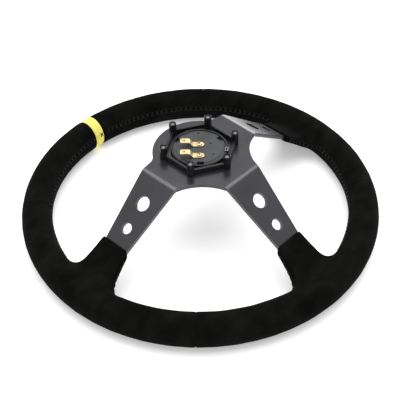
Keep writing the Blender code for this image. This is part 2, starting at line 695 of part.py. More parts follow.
def contact_posts():
    """Rivets that hold the blades and reach down to the moving contact."""
    seat = BLADE_LOW + BLADE_T + GAP
    head_r = POST_R * 2
    top = seat + POST_HEAD_H
    profile = [(0, top), (head_r * 0.6, top), (head_r, seat + POST_HEAD_H / 2), (head_r, seat),
               (POST_R, seat), (POST_R, POST_END + 0.4 * MM), (POST_R * 0.6, POST_END), (0, POST_END)]
    mesh = frozen(turned("contact_post", profile, "brass", steps=12))
    for number, place in enumerate(terminal_posts(), 1):
        add_object(f"contact_post_{number}", mesh, "brass").location = place


def edge_clip():
    """A small spring clip hooked over the housing's edge."""
    foot = PLATE_BACK + CLIP_FOOT
    tongue = RAISED_TOP - GAP / 3
    r_in = BORE_R - GAP
    r_out = HOUSING_R + GAP
    low = HOUSING_TOP + GAP
    top = low + CLIP_T
    profile = [(r_in, tongue), (r_in, low), (r_out, low), (r_out, foot), (r_out + CLIP_T, foot),
               (r_out + CLIP_T, top), (r_in - CLIP_T, top), (r_in - CLIP_T, tongue)]
    bm = swept_arc(profile, CLIP_ANGLE - CLIP_HALF, CLIP_ANGLE + CLIP_HALF, 2)
    add_object("edge_clip", mesh_from(bm, "edge_clip"), "steel")


def horn_bezel():
    """The ring that snaps over the housing's flange and keeps the cap in."""
    low = LIP_TOP - LIP
    skirt_r = FLANGE_R + GAP
    lip_r = CAP_R + CAP_SLACK
    seat = FLANGE_LOW - GAP
    profile = [(BEZEL_R, FLANGE_TOP - GAP), (BEZEL_R, low + BEZEL_CHAMFER), (BEZEL_R - BEZEL_CHAMFER, low),
               (lip_r, low), (lip_r, LIP_TOP), (BORE_R + GAP, LIP_TOP), (BORE_R + GAP, seat),
               (skirt_r, seat), (skirt_r, FLANGE_TOP - GAP)]
    turned("horn_bezel", profile, "black_plastic")


def horn_cap():
    """The button: a shallow cup with a recess for its insert and a ring for the contact."""
    flange_r = CAP_R + CAP_FLANGE_W
    inner_r = CAP_R - CAP_WALL
    recess = CAP_FRONT + RECESS_D
    floor = recess + CAP_WALL
    carrier_in, carrier_out = (CAP_R * share for share in CARRIER)
    carrier_top = CONTACT_LOW - GAP
    round_z = CAP_FRONT + CAP_BEAD + CAP_ROUND
    corner = [(CAP_R - CAP_ROUND + CAP_ROUND * cos(a), round_z - CAP_ROUND * sin(a))
              for a in (0, pi / 6, pi / 3, pi / 2)]
    profile = [(flange_r, CAP_FLANGE_TOP), (flange_r, CAP_FLANGE_LOW), (CAP_R, CAP_FLANGE_LOW), *corner,
               (RECESS_R, CAP_FRONT), (RECESS_R, recess), (0, recess), (0, floor),
               (carrier_in, floor), (carrier_in, carrier_top), (carrier_out, carrier_top),
               (carrier_out, floor), (inner_r - 2 * MM, floor), (inner_r, floor + 2 * MM),
               (inner_r, CAP_FLANGE_TOP)]
    turned("horn_cap", closed_at_axis(profile), "black_plastic", steps=32)
    insert_r = RECESS_R - GAP
    insert = [(0, recess - GAP), (insert_r, recess - GAP), (insert_r, CAP_FRONT), (0, CAP_FRONT)]
    turned("cap_insert", insert, "print", steps=32)
    contact_r = CAP_R * CONTACT_SHARE
    contact = [(0, CONTACT_TOP), (contact_r, CONTACT_TOP), (contact_r, CONTACT_LOW), (0, CONTACT_LOW)]
    turned("contact_disc", contact, "brass", steps=16)


def closed_at_axis(profile):
    """Start an outline that crosses the axis at its inner axis point, so that it stays open there."""
    inner = max(i for i, (r, z) in enumerate(profile) if r == 0)
    return profile[inner:] + profile[:inner]


def horn_spring():
    """The return spring, with a flat dead turn at each end."""
    low = CONTACT_TOP + GAP + SPRING_WIRE / 2
    high = BASE_LOW - GAP - SPRING_WIRE / 2
    per_turn = 14
    total = SPRING_TURNS + 2 * SPRING_DEAD
    pitch_min = SPRING_WIRE * 1.25
    count = round(total * per_turn)
    live_rise = high - low - 2 * SPRING_DEAD * pitch_min
    curve = bpy.data.curves.new("horn_spring", "CURVE")
    curve.dimensions = "3D"
    curve.bevel_depth = SPRING_WIRE / 2
    curve.bevel_resolution = 1
    curve.use_fill_caps = True
    spline = curve.splines.new("POLY")
    spline.points.add(count)
    for i, point in enumerate(spline.points):
        turn = total * i / count
        before = min(turn, SPRING_DEAD)
        after = max(turn - SPRING_DEAD - SPRING_TURNS, 0)
        live = turn - before - after
        z = low + (before + after) * pitch_min + live_rise * live / SPRING_TURNS
        a = 2 * pi * turn
        point.co = (SPRING_R * cos(a), SPRING_R * sin(a), z, 1)
    guide = bpy.data.objects.new("spring_guide", curve)
    cutters.objects.link(guide)
    mesh = frozen(guide)
    bm = bmesh.new()
    bm.from_mesh(mesh)
    bmesh.ops.remove_doubles(bm, verts=bm.verts, dist=0.00001)
    add_object("horn_spring", mesh_from(bm, "horn_spring"), "steel")


# ---- build -----------------------------------------------------------------------

clear_scene()
wheel = new_collection("steering_wheel")
cutters = new_collection("cutters")

rim_covers()
rim_hoop()
spoke_rivets()
grip_foam()
spoke_plate()
boss_ring()
trim_ring()
wheel_screws()
horn_housing()
horn_base()
blade_terminals()
contact_posts()
edge_clip()
horn_bezel()
horn_cap()
horn_spring()
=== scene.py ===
from math import atan, cos, hypot, pi, radians, sin, tan

import bmesh
import bpy
from mathutils import Matrix, Vector, noise
from mathutils.bvhtree import BVHTree
from mathutils.kdtree import KDTree


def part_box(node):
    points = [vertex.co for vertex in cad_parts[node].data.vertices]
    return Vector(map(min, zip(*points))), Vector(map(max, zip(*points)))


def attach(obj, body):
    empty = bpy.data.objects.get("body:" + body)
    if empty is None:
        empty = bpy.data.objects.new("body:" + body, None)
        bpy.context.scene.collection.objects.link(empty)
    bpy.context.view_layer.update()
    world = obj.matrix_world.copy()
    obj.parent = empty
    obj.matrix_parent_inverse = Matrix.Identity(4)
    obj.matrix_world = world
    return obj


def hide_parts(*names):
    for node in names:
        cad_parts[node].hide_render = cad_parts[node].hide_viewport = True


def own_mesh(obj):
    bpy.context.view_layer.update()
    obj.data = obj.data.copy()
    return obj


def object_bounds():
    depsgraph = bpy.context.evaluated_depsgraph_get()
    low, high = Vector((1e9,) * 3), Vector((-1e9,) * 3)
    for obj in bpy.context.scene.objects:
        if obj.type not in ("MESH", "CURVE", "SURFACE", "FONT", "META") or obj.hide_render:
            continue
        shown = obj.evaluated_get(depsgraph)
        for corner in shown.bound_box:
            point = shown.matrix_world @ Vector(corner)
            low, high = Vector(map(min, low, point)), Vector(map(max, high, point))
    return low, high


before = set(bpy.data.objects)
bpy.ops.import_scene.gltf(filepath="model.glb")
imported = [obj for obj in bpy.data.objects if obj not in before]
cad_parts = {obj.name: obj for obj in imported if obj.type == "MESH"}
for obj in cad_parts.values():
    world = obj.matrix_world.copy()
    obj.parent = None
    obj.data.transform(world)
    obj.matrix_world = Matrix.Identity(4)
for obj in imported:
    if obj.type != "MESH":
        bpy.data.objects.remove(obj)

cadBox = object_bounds()
mm = 0.001
print("frame loaded:", len(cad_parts), "nodes")


# levels and radii that every piece is placed by, all read from the frame

def levels(node):
    low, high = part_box(node)
    return low.z, high.z


def outerRadius(node):
    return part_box(node)[1].x


rimOuter = cadBox[1].x
gripLow, gripHigh = levels("suede_top_left")
gripMid = (gripLow + gripHigh) / 2
plateTop = levels("spoke_plate")[1]
ringLow = levels("boss_ring")[0]
bossTop = levels("boss_ring")[1]
spokeAngles = {"left": 180, "bottom": 270, "right": 0}


# helpers for meshes

def along(angle, s, w=0.0, z=0.0):  # s out from the steering axis, w to the left of that, z up
    a = radians(angle)
    return Vector((s * cos(a) - w * sin(a), s * sin(a) + w * cos(a), z))


def linked(name, mesh):
    obj = bpy.data.objects.new(name, mesh)
    bpy.context.scene.collection.objects.link(obj)
    return obj


def meshOf(bm, name):
    mesh = bpy.data.meshes.new(name)
    bm.to_mesh(mesh)
    bm.free()
    return mesh


def worked(bm, steps, others=()):
    # runs modifiers on a mesh and gives back the result; others are cutters that they may name
    obj = linked("work", meshOf(bm, "work"))
    helpers = [linked("helper", meshOf(other, "helper")) for other in others]
    for kind, settings in steps:
        mod = obj.modifiers.new(kind, kind)
        for key, value in settings.items():
            setattr(mod, key, helpers[value] if key == "object" else value)
    bpy.context.view_layer.update()
    shown = obj.evaluated_get(bpy.context.evaluated_depsgraph_get())
    result = bmesh.new()
    result.from_mesh(shown.to_mesh())
    shown.to_mesh_clear()
    for used in [obj, *helpers]:
        mesh = used.data
        bpy.data.objects.remove(used)
        bpy.data.meshes.remove(mesh)
    return result


def joined(bm, other, operation="UNION"):
    step = ("BOOLEAN", {"operation": operation, "solver": "EXACT", "object": 0})
    result = worked(bm, [step], [other])
    bmesh.ops.dissolve_limit(result, angle_limit=radians(0.5), verts=result.verts, edges=result.edges)
    return result


def borers(holes, sides=40):
    # each hole is its centre, axis, radius and length, with a small countersink left to the bevel
    cutter = bmesh.new()
    for centre, axis, radius, length in holes:
        turn = Vector((0, 0, 1)).rotation_difference(Vector(axis)).to_matrix().to_4x4()
        bmesh.ops.create_cone(cutter, cap_ends=True, segments=sides, radius1=radius, radius2=radius,
                              depth=length, matrix=Matrix.Translation(centre) @ turn)
    return cutter


def drilled(bm, holes, sides=40):
    return joined(bm, borers(holes, sides), "DIFFERENCE")


def eased(bm, width, angle=35, segments=2, keep=None):
    # a small round on every edge sharper than angle
    edges = [e for e in bm.edges if len(e.link_faces) == 2 and e.calc_face_angle(0) > radians(angle)
             and (keep is None or keep(e))]
    bmesh.ops.bevel(bm, geom=edges, offset=width, offset_type="OFFSET", segments=segments, profile=0.5,
                    affect="EDGES", clamp_overlap=True, material=-1)
    return bm


def turned(profile, steps=96):
    # a profile in (radius, height), spun about the steering axis
    bm = bmesh.new()
    verts = [bm.verts.new((r, 0, z)) for r, z in profile]
    edges = [bm.edges.new(pair) for pair in zip(verts, verts[1:])]
    if profile[0][0] > 0 or profile[-1][0] > 0:
        edges.append(bm.edges.new((verts[-1], verts[0])))
    bmesh.ops.spin(bm, geom=verts + edges, cent=(0, 0, 0), axis=(0, 0, 1), angle=2 * pi, steps=steps,
                   use_merge=True, use_normal_flip=False, use_duplicate=False)
    bmesh.ops.remove_doubles(bm, verts=bm.verts, dist=0.001 * mm)
    bmesh.ops.recalc_face_normals(bm, faces=bm.faces)
    return bm


def arcBlock(angle, halfAngle, section, steps=6):
    # a section in (radius, height), swept over part of a turn
    bm = bmesh.new()
    face = bm.faces.new([bm.verts.new(along(angle - halfAngle, r, 0, z)) for r, z in section])
    bmesh.ops.spin(bm, geom=[face, *face.edges, *face.verts], cent=(0, 0, 0), axis=(0, 0, 1),
                   angle=radians(2 * halfAngle), steps=steps, use_merge=False, use_normal_flip=False,
                   use_duplicate=False)
    bmesh.ops.recalc_face_normals(bm, faces=bm.faces)
    return bm


def oblong(rIn, rOut, low, high):
    return [(rIn, low), (rOut, low), (rOut, high), (rIn, high)]


def piece(name, bm, finish, nodes, body="wheel", sharp=40):
    # a finished piece: smooth where it is round, riding on its body, standing for its nodes
    mesh = meshOf(bm, name)
    mesh.materials.append(finish)
    mesh.shade_smooth()
    mesh.set_sharp_from_angle(angle=radians(sharp))
    obj = linked(name, mesh)
    if sharp < 60:  # flat faces stay flat beside their rounded edges
        normals = obj.modifiers.new("normals", "WEIGHTED_NORMAL")
        normals.keep_sharp = True
    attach(obj, body)
    if nodes:
        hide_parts(*nodes)
    return obj


def placed(bm, place, angle=0):
    copy = bm.copy()
    bmesh.ops.transform(copy, verts=copy.verts, matrix=Matrix.Translation(place) @ Matrix.Rotation(angle, 4, "Z"))
    return copy


# helpers for materials

def linear(code):  # an sRGB hex code as a linear colour
    parts = [int(code[i:i + 2], 16) / 255 for i in (1, 3, 5)]
    return (*[c / 12.92 if c <= 0.04045 else ((c + 0.055) / 1.055) ** 2.4 for c in parts], 1)


def add(tree, kind, values=None, links=None, **settings):
    # one node: its settings, its sockets' values, and what is linked into it
    node = tree.nodes.new(kind)
    for key, value in settings.items():
        setattr(node, key, value)
    for key, value in (values or {}).items():
        node.inputs[key].default_value = value
    for key, source in (links or {}).items():
        tree.links.new(source, node.inputs[key])
    return node


def newMaterial(name, **values):
    made = bpy.data.materials.new(name)
    made.use_nodes = True
    tree = made.node_tree
    shader = tree.nodes["Principled BSDF"]
    for key, value in values.items():
        shader.inputs[key].default_value = value
    place = add(tree, "ShaderNodeTexCoord").outputs["Object"]
    return made, tree, shader, place


def per(size):  # the scale of a pattern whose features are size metres apart
    return 1 / size


def ramp(tree, source, stops):
    node = add(tree, "ShaderNodeValToRGB", links={"Fac": source})
    elements = node.color_ramp.elements
    while len(elements) < len(stops):
        elements.new(0.5)
    for element, (position, colour) in zip(elements, stops):
        element.position = position
        element.color = colour
    return node.outputs["Color"]


def grain(tree, place, size, detail=3.0, rough=0.6, stretch=None):
    if stretch:
        place = add(tree, "ShaderNodeMapping", {"Scale": stretch}, {"Vector": place}).outputs["Vector"]
    return add(tree, "ShaderNodeTexNoise", {"Scale": per(size), "Detail": detail, "Roughness": rough},
               {"Vector": place}).outputs["Fac"]


def bump(tree, shader, layers):
    # bumps laid over each other, each a height source and its real depth
    normal = None
    for source, depth in layers:
        links = {"Height": source}
        if normal:
            links["Normal"] = normal
        normal = add(tree, "ShaderNodeBump", {"Distance": depth, "Strength": 1.0}, links).outputs["Normal"]
    tree.links.new(normal, shader.inputs["Normal"])


# materials

def nappedSuede(name, low, mid, high, sheen):
    # split leather buffed to a nap: no gloss, and soft patches where a hand has laid the nap over
    made, tree, shader, place = newMaterial(name, Roughness=0.96)
    shader.inputs["Sheen Weight"].default_value = sheen
    shader.inputs["Sheen Roughness"].default_value = 0.5
    shader.inputs["Sheen Tint"].default_value = linear(high)
    shader.inputs["Specular IOR Level"].default_value = 0.03
    strokes = grain(tree, place, 26 * mm, 4, 0.55, (1, 1.6, 0.8))  # patches about a finger wide
    fibres = grain(tree, place, 1.1 * mm, 4, 0.75)
    both = add(tree, "ShaderNodeMath", {1: 0.72}, {0: strokes}, operation="MULTIPLY").outputs[0]
    mixed = add(tree, "ShaderNodeMath", {1: 0.28, }, {0: fibres, 2: both}, operation="MULTIPLY_ADD").outputs[0]
    colour = ramp(tree, mixed, [(0.36, linear(low)), (0.5, linear(mid)), (0.66, linear(high))])
    tree.links.new(colour, shader.inputs["Base Color"])
    bump(tree, shader, [(strokes, 0.25 * mm), (fibres, 0.22 * mm)])
    return made


def spunPolyester(name, low, high):
    # bonded twisted sewing thread: two plies wound round each other, with a faint waxed gloss
    made, tree, shader, place = newMaterial(name, Roughness=0.6)
    shader.inputs["Sheen Weight"].default_value = 0.05
    shader.inputs["Specular IOR Level"].default_value = 0.2
    twist = add(tree, "ShaderNodeTexWave", {"Scale": per(4 * mm), "Distortion": 3.0, "Detail": 1.0},
                {"Vector": place}, wave_type="BANDS", bands_direction="DIAGONAL").outputs["Fac"]
    tree.links.new(ramp(tree, twist, [(0.2, linear(low)), (0.8, linear(high))]), shader.inputs["Base Color"])
    bump(tree, shader, [(twist, 0.08 * mm)])
    return made


def mouldedFoam(name):
    # integral-skin polyurethane: dull, with fine closed cells
    made, tree, shader, place = newMaterial(name, Roughness=0.9)
    cells = add(tree, "ShaderNodeTexVoronoi", {"Scale": per(1.2 * mm)}, {"Vector": place}).outputs["Distance"]
    colour = ramp(tree, cells, [(0.0, linear("#1b1b1b")), (0.7, linear("#333333"))])
    tree.links.new(colour, shader.inputs["Base Color"])
    bump(tree, shader, [(cells, 0.2 * mm)])
    return made


def anodisedAluminium(name):
    # bead-blasted sheet, dyed black and sealed: the dye hides the metal, so it shines like a satin paint
    made, tree, shader, place = newMaterial(name, IOR=1.7)
    clouds = grain(tree, place, 34 * mm, 3, 0.6)
    blast = grain(tree, place, 0.7 * mm, 2, 0.7)
    colour = ramp(tree, clouds, [(0.3, linear("#1c1c21")), (0.7, linear("#28262d"))])
    tree.links.new(colour, shader.inputs["Base Color"])
    rough = add(tree, "ShaderNodeMapRange", {"To Min": 0.18, "To Max": 0.28}, {"Value": clouds}).outputs[0]
    tree.links.new(rough, shader.inputs["Roughness"])
    bump(tree, shader, [(blast, 0.008 * mm)])
    return made


def blackenedSteel(name):
    # hot-blackened steel: dark, oily satin with lighter turning marks
    made, tree, shader, place = newMaterial(name, Metallic=1.0)
    marks = grain(tree, place, 3 * mm, 3, 0.6, (1, 1, 14))
    colour = ramp(tree, marks, [(0.3, linear("#55555a")), (0.75, linear("#7c7c80"))])
    tree.links.new(colour, shader.inputs["Base Color"])
    rough = add(tree, "ShaderNodeMapRange", {"To Min": 0.28, "To Max": 0.5}, {"Value": marks}).outputs[0]
    tree.links.new(rough, shader.inputs["Roughness"])
    return made


def zincSteel(name):
    # bright zinc plate: pale, slightly blue, with a faint spangle
    made, tree, shader, place = newMaterial(name, Metallic=1.0)
    spangle = add(tree, "ShaderNodeTexVoronoi", {"Scale": per(2.2 * mm)}, {"Vector": place}).outputs["Color"]
    value = add(tree, "ShaderNodeSeparateColor", links={"Color": spangle}).outputs[0]
    colour = ramp(tree, value, [(0.2, linear("#8f9297")), (0.8, linear("#abadb1"))])
    tree.links.new(colour, shader.inputs["Base Color"])
    rough = add(tree, "ShaderNodeMapRange", {"To Min": 0.2, "To Max": 0.36}, {"Value": value}).outputs[0]
    tree.links.new(rough, shader.inputs["Roughness"])
    return made


def mouldedNylon(name, low, high, rough, texture):
    # glass-filled nylon from a spark-eroded tool: fine leather-like grain, soft shine on edges
    made, tree, shader, place = newMaterial(name)
    swirl = grain(tree, place, 9 * mm, 3, 0.6)
    spark = grain(tree, place, texture, 2, 0.6)
    tree.links.new(ramp(tree, swirl, [(0.3, linear(low)), (0.7, linear(high))]), shader.inputs["Base Color"])
    value = add(tree, "ShaderNodeMapRange", {"To Min": rough, "To Max": rough + 0.16}, {"Value": swirl}).outputs[0]
    tree.links.new(value, shader.inputs["Roughness"])
    bump(tree, shader, [(spark, 0.03 * mm)])
    return made


def rolledBrass(name):
    # stamped from rolled strip: pale yellow, faint rolling lines, handled to a dull bloom
    made, tree, shader, place = newMaterial(name, Metallic=1.0)
    lines = grain(tree, place, 1.2 * mm, 3, 0.6, (1, 8, 1))
    bloom = grain(tree, place, 4 * mm, 3, 0.6)
    colour = ramp(tree, bloom, [(0.3, linear("#d3bf8a")), (0.7, linear("#e2d4a9"))])
    tree.links.new(colour, shader.inputs["Base Color"])
    rough = add(tree, "ShaderNodeMapRange", {"To Min": 0.24, "To Max": 0.46}, {"Value": bloom}).outputs[0]
    tree.links.new(rough, shader.inputs["Roughness"])
    bump(tree, shader, [(lines, 0.012 * mm)])
    return made


def screenPrint(name, code):
    # gloss polycarbonate with the print behind it
    made, tree, shader, place = newMaterial(name, Roughness=0.22)
    haze = grain(tree, place, 6 * mm, 3, 0.6)
    tree.links.new(ramp(tree, haze, [(0.3, linear(code)), (0.7, linear("#26262a"))]), shader.inputs["Base Color"])
    shader.inputs["Coat Weight"].default_value = 0.6
    shader.inputs["Coat Roughness"].default_value = 0.1
    return made


def printInk(name, code):
    # opaque white ink: matt, with the faint weave of the screen
    made, tree, shader, place = newMaterial(name, Roughness=0.55)
    weave = grain(tree, place, 0.5 * mm, 1, 0.5)
    colour = ramp(tree, weave, [(0.2, linear(code)), (0.8, linear("#f4f4f2"))])
    tree.links.new(colour, shader.inputs["Base Color"])
    return made


blackSuede = nappedSuede("napped black suede", "#080808", "#0e0e0d", "#151514", 0.1)
yellowSuede = nappedSuede("napped yellow suede", "#dbd060", "#e9e076", "#f2ea93", 0.1)
blackThread = spunPolyester("bonded polyester thread", "#050505", "#0f0f10")
gripFoam = mouldedFoam("moulded polyurethane foam")
satinPlate = anodisedAluminium("anodised aluminium plate")
blackSteel = blackenedSteel("blackened steel")
brightSteel = zincSteel("zinc plated steel")
glossNylon = mouldedNylon("black moulded nylon", "#0c0c0d", "#17171a", 0.2, 0.9 * mm)
greyNylon = mouldedNylon("grey moulded nylon", "#292b2e", "#333538", 0.36, 0.7 * mm)
stripBrass = rolledBrass("rolled brass strip")
sealResin = mouldedNylon("black sealing resin", "#030303", "#060606", 0.8, 1.2 * mm)
badgeBlack = screenPrint("screen printed badge", "#141416")
badgeInk = printInk("white print ink", "#e9e9e6")
print("materials made")


# camera, floor and light

view = {
    "azimuth": 46.06, "elevation": 43.371, "roll": -0.841,  # degrees
    "distance": 0.976, "right": -0.00019, "up": 0.00406,  # metres
    "lens": 89.06, "sensor": 36.0,
}


def makeCamera():
    elevation = radians(view["elevation"])
    back = Vector((0, -cos(elevation), sin(elevation)))
    place = Vector((view["right"], 0, view["up"])) + back * view["distance"]
    side = Vector((1, 0, 0))
    up = side.cross(-back)
    roll = radians(view["roll"])
    side, up = side * cos(roll) + up * sin(roll), up * cos(roll) - side * sin(roll)
    aim = Matrix((side, up, back)).transposed().to_4x4()
    camera = bpy.data.objects.new("camera", bpy.data.cameras.new("camera"))
    bpy.context.scene.collection.objects.link(camera)
    turn = Matrix.Rotation(radians(-view["azimuth"]), 4, "Z")
    camera.matrix_world = turn @ Matrix.Translation(place + Vector((0, 0, gripMid))) @ aim
    camera.data.sensor_width = view["sensor"]
    camera.data.lens = view["lens"]
    bpy.context.scene.camera = camera


studio = {
    "floorSize": 14.0, "floorDrop": 0.0002,  # just clear of the nap
    "world": 0.72,  # a white room round the lights
    "floorGlow": 0.31,  # an opal board with a little light behind it
    "lamps": (  # name, azimuth from the camera's right, elevation, distance, size, power
        ("overhead", 94, 80, 2.4, 2.8, 62),
        ("backBox", 66, 14, 2.4, 1.2, 16),
    ),
}


def makeFloor():
    # matt opal acrylic board, nearly white, with a little light behind it
    made, tree, shader, place = newMaterial("matt opal board", Roughness=0.85)
    shader.inputs["Emission Color"].default_value = (1, 1, 1, 1)
    shader.inputs["Emission Strength"].default_value = studio["floorGlow"]
    tone = grain(tree, place, 300 * mm, 2, 0.5)
    tree.links.new(ramp(tree, tone, [(0.3, linear("#f3f3f4")), (0.7, linear("#f8f8f8"))]),
                   shader.inputs["Base Color"])
    bm = bmesh.new()
    bmesh.ops.create_grid(bm, x_segments=1, y_segments=1, size=studio["floorSize"] / 2)
    bmesh.ops.translate(bm, verts=bm.verts, vec=(0, 0, -studio["floorDrop"]))
    floor = linked("floor", meshOf(bm, "floor"))
    floor.data.materials.append(made)


def makeLamps():
    world = bpy.data.worlds.new("studio")
    world.use_nodes = True
    world.node_tree.nodes["Background"].inputs["Color"].default_value = (1, 1, 1, 1)
    world.node_tree.nodes["Background"].inputs["Strength"].default_value = studio["world"]
    bpy.context.scene.world = world
    for name, azimuth, elevation, distance, size, power in studio["lamps"]:
        lamp = bpy.data.lights.new(name, "AREA")
        lamp.shape = "SQUARE"
        lamp.size = size
        lamp.energy = power
        obj = bpy.data.objects.new(name, lamp)
        bpy.context.scene.collection.objects.link(obj)
        e = radians(elevation)
        out = along(azimuth - view["azimuth"], cos(e), 0, sin(e))
        obj.location = out * distance
        obj.rotation_euler = out.to_track_quat("Z", "Y").to_euler()


makeCamera()
makeFloor()
makeLamps()
bpy.context.scene.view_settings.view_transform = "Standard"
print("camera, floor and lights made")


# grip: suede skins with a sewn seam, over the foam

grip = {
    "width": 29.6 * mm, "height": gripHigh - gripLow, "skin": 1.4 * mm,
    "bandAngle": 90, "bandWidth": 11.6 * mm, "seamSpread": 42,
    "seamAt": 165,  # where the long seam runs on the section, from outside over the top
    "seamDepth": 0.75 * mm, "seamWidth": 0.8 * mm,
    "rollDepth": 0.4 * mm, "rollWidth": 1.2 * mm, "gap": 0.3 * mm,
    "voxel": 1.3 * mm, "facet": 1.4 * mm, "wave": 0.22 * mm,
}
ears = {
    "end": 112.2 * mm, "halfWidth": 16.21 * mm, "halfHeight": 5.02 * mm, "lean": 0.6 * mm,
    "sections": (  # distance in from the grip's middle, flare, swell, squareness
        (48.0, 0.0, 0.0, 6), (43.0, 0.7, 0.4, 5), (36.0, 2.1, 1.0, 4), (29.6, 3.9, 1.7, 3.4),
        (24.0, 6.7, 2.5, 2.8), (19.6, 11.1, 3.6, 2.5), (16.2, 18.1, 5.0, 2.3), (13.2, 28.1, 6.4, 2),
        (7.2, 31.1, 7.6, 2),
    ),
}
stitch = {
    "pitch": 5.4 * mm, "across": 2.6 * mm, "lean": 1.7 * mm, "thread": 0.36 * mm, "proud": 0.2 * mm,
}
plate = {
    "thickness": 4.0 * mm, "bendAt": 54.8 * mm, "bendRadius": 9.0 * mm, "tabAt": 140.8 * mm,
    "tabTop": 20.1 * mm, "tabEnd": 166.2 * mm, "tabHalfWidth": 15.0 * mm, "tabRadius": 9.0 * mm,
    "hubRadius": 44.5 * mm, "hubFrom": 40, "armHalfWidth": 20.6 * mm, "armAt": 60.0 * mm, "taper": 0.13,
    "flareAt": 120.2 * mm, "webFillet": 43.0 * mm, "hubFillet": 12.0 * mm,
    "holes": ((76.0 * mm, 7.2 * mm), (97.4 * mm, 5.4 * mm)),  # distance out, radius
    "edge": 0.4 * mm,
}
gripRadius = rimOuter - grip["width"] / 2
armSlope = (plateTop - plate["tabTop"]) / (plate["tabAt"] - plate["bendAt"])
armAngle = atan(armSlope)


def plateLevel(s):
    # height of the plate's column face along an arm, and its angle, with rounded folds
    upper = plate["bendRadius"] * tan(armAngle / 2)
    lower = plate["tabRadius"] * tan(armAngle / 2)
    start = plate["bendAt"] - upper
    finish = plate["tabAt"] + lower
    if s <= start:
        return plateTop, 0.0
    if s < plate["bendAt"] + upper * cos(armAngle):
        lean = (s - start) / plate["bendRadius"]
        return plateTop - plate["bendRadius"] * (1 - (1 - lean ** 2) ** 0.5), atan(lean / (1 - lean ** 2) ** 0.5)
    if s < plate["tabAt"] - lower * cos(armAngle):
        return plateTop - armSlope * (s - plate["bendAt"]), armAngle
    if s < finish:
        lean = (finish - s) / plate["tabRadius"]
        return plate["tabTop"] + plate["tabRadius"] * (1 - (1 - lean ** 2) ** 0.5), atan(lean / (1 - lean ** 2) ** 0.5)
    return plate["tabTop"], 0.0


def sectionCircle(bm, angle, inset, sides):
    # the grip's oval section at one angle round the wheel
    made = bmesh.ops.create_circle(bm, cap_ends=False, segments=sides, radius=1)["verts"]
    halfW = grip["width"] / 2 - inset
    halfH = grip["height"] / 2 - inset
    for v in made:
        v.co = along(angle, gripRadius + halfW * v.co.x, 0, gripMid + halfH * v.co.y)
    return made


def once(items):  # each item once, in the order first met, so that every run is the same
    return list(dict.fromkeys(items))


def edgesOf(verts):
    inside = set(verts)
    around = once(e for v in verts for e in v.link_edges)
    return [e for e in around if e.verts[0] in inside and e.verts[1] in inside]


def ringTube(start, end, steps, sides, capped=False):
    bm = bmesh.new()
    verts = sectionCircle(bm, start, 0, sides)
    edges = edgesOf(verts)
    if capped:
        bmesh.ops.holes_fill(bm, edges=edges, sides=0)
    bmesh.ops.spin(bm, geom=bm.verts[:] + bm.edges[:] + bm.faces[:], cent=(0, 0, 0), axis=(0, 0, 1),
                   angle=radians(end - start), steps=steps, use_merge=False, use_normal_flip=False,
                   use_duplicate=False)
    bmesh.ops.recalc_face_normals(bm, faces=bm.faces)
    return bm


def earShape(reach):
    # flare, swell and squareness of an ear between its listed sections
    listed = ears["sections"]
    for near, far in zip(listed, listed[1:]):
        if reach >= far[0]:
            part = min(max((near[0] - reach) / (near[0] - far[0]), 0), 1)
            return [a + (b - a) * part for a, b in zip(near[1:], far[1:])]
    return listed[-1][1:]


def earHalfWidth(s):
    return ears["halfWidth"] + earShape((gripRadius - s) / mm)[0] * mm


def earBody(angle):
    bm = bmesh.new()
    rings = []
    first = ears["end"] - 4 * mm
    last = gripRadius - ears["sections"][-1][0] * mm
    count = 26
    for i in range(count + 1):
        s = first + (last - first) * i / count
        flare, swell, square = earShape((gripRadius - s) / mm)
        top, lean = plateLevel(s)
        middle = top - plate["thickness"] / 2 / cos(lean)
        ring = bmesh.ops.create_circle(bm, cap_ends=False, segments=40, radius=1)["verts"]
        for v in ring:
            w = (ears["halfWidth"] + flare * mm) * abs(v.co.x) ** (2 / square) * (1 if v.co.x > 0 else -1)
            h = (ears["halfHeight"] + swell * mm) * abs(v.co.y) ** (2 / square) * (1 if v.co.y > 0 else -1)
            v.co = along(angle, s, w - ears["lean"], middle + h)
        rings.append(edgesOf(ring))
    for near, far in zip(rings, rings[1:]):
        bmesh.ops.bridge_loops(bm, edges=near + far)
    bmesh.ops.holes_fill(bm, edges=rings[0] + rings[-1], sides=0)
    bmesh.ops.recalc_face_normals(bm, faces=bm.faces)
    return bm


def merged(bm, other):
    mesh = meshOf(other, "other")
    bm.from_mesh(mesh)
    bpy.data.meshes.remove(mesh)
    return bm


def cutAt(bm, point, outward, reach=None):
    # cuts away what lies outward of a plane, within reach of the point if one is given
    faces = [f for f in bm.faces if reach is None or (f.calc_center_median() - point).length < reach]
    near = once(g for f in faces for g in (*f.verts, *f.edges))
    bmesh.ops.bisect_plane(bm, geom=near + faces, plane_co=point, plane_no=outward,
                           clear_outer=True, dist=0.0001 * mm)


def trimEnds(bm, start, end):
    cutAt(bm, Vector(), -along(start, 0, 1))
    cutAt(bm, Vector(), along(end, 0, 1))


def smoothCrease(bm, angle):
    # the suede is pulled over a moulded fillet where an ear leaves the grip
    out = along(angle, 1)
    left = along(angle, 0, 1)
    for passes, wide, deep in ((10, 60, 30), (14, 52, 24), (14, 46, 20), (8, 40, 17)):
        near = []
        for v in bm.verts:
            s = v.co.dot(out)
            w = abs(v.co.dot(left))
            if gripRadius - deep * mm < s < gripRadius + 2 * mm and w < wide * mm:
                near.append(v)
        for step in range(passes):
            bmesh.ops.smooth_vert(bm, verts=near, factor=0.5, use_axis_x=True, use_axis_y=True, use_axis_z=True)
    bmesh.ops.smooth_vert(bm, verts=bm.verts, factor=0.5, use_axis_x=True, use_axis_y=True, use_axis_z=True)


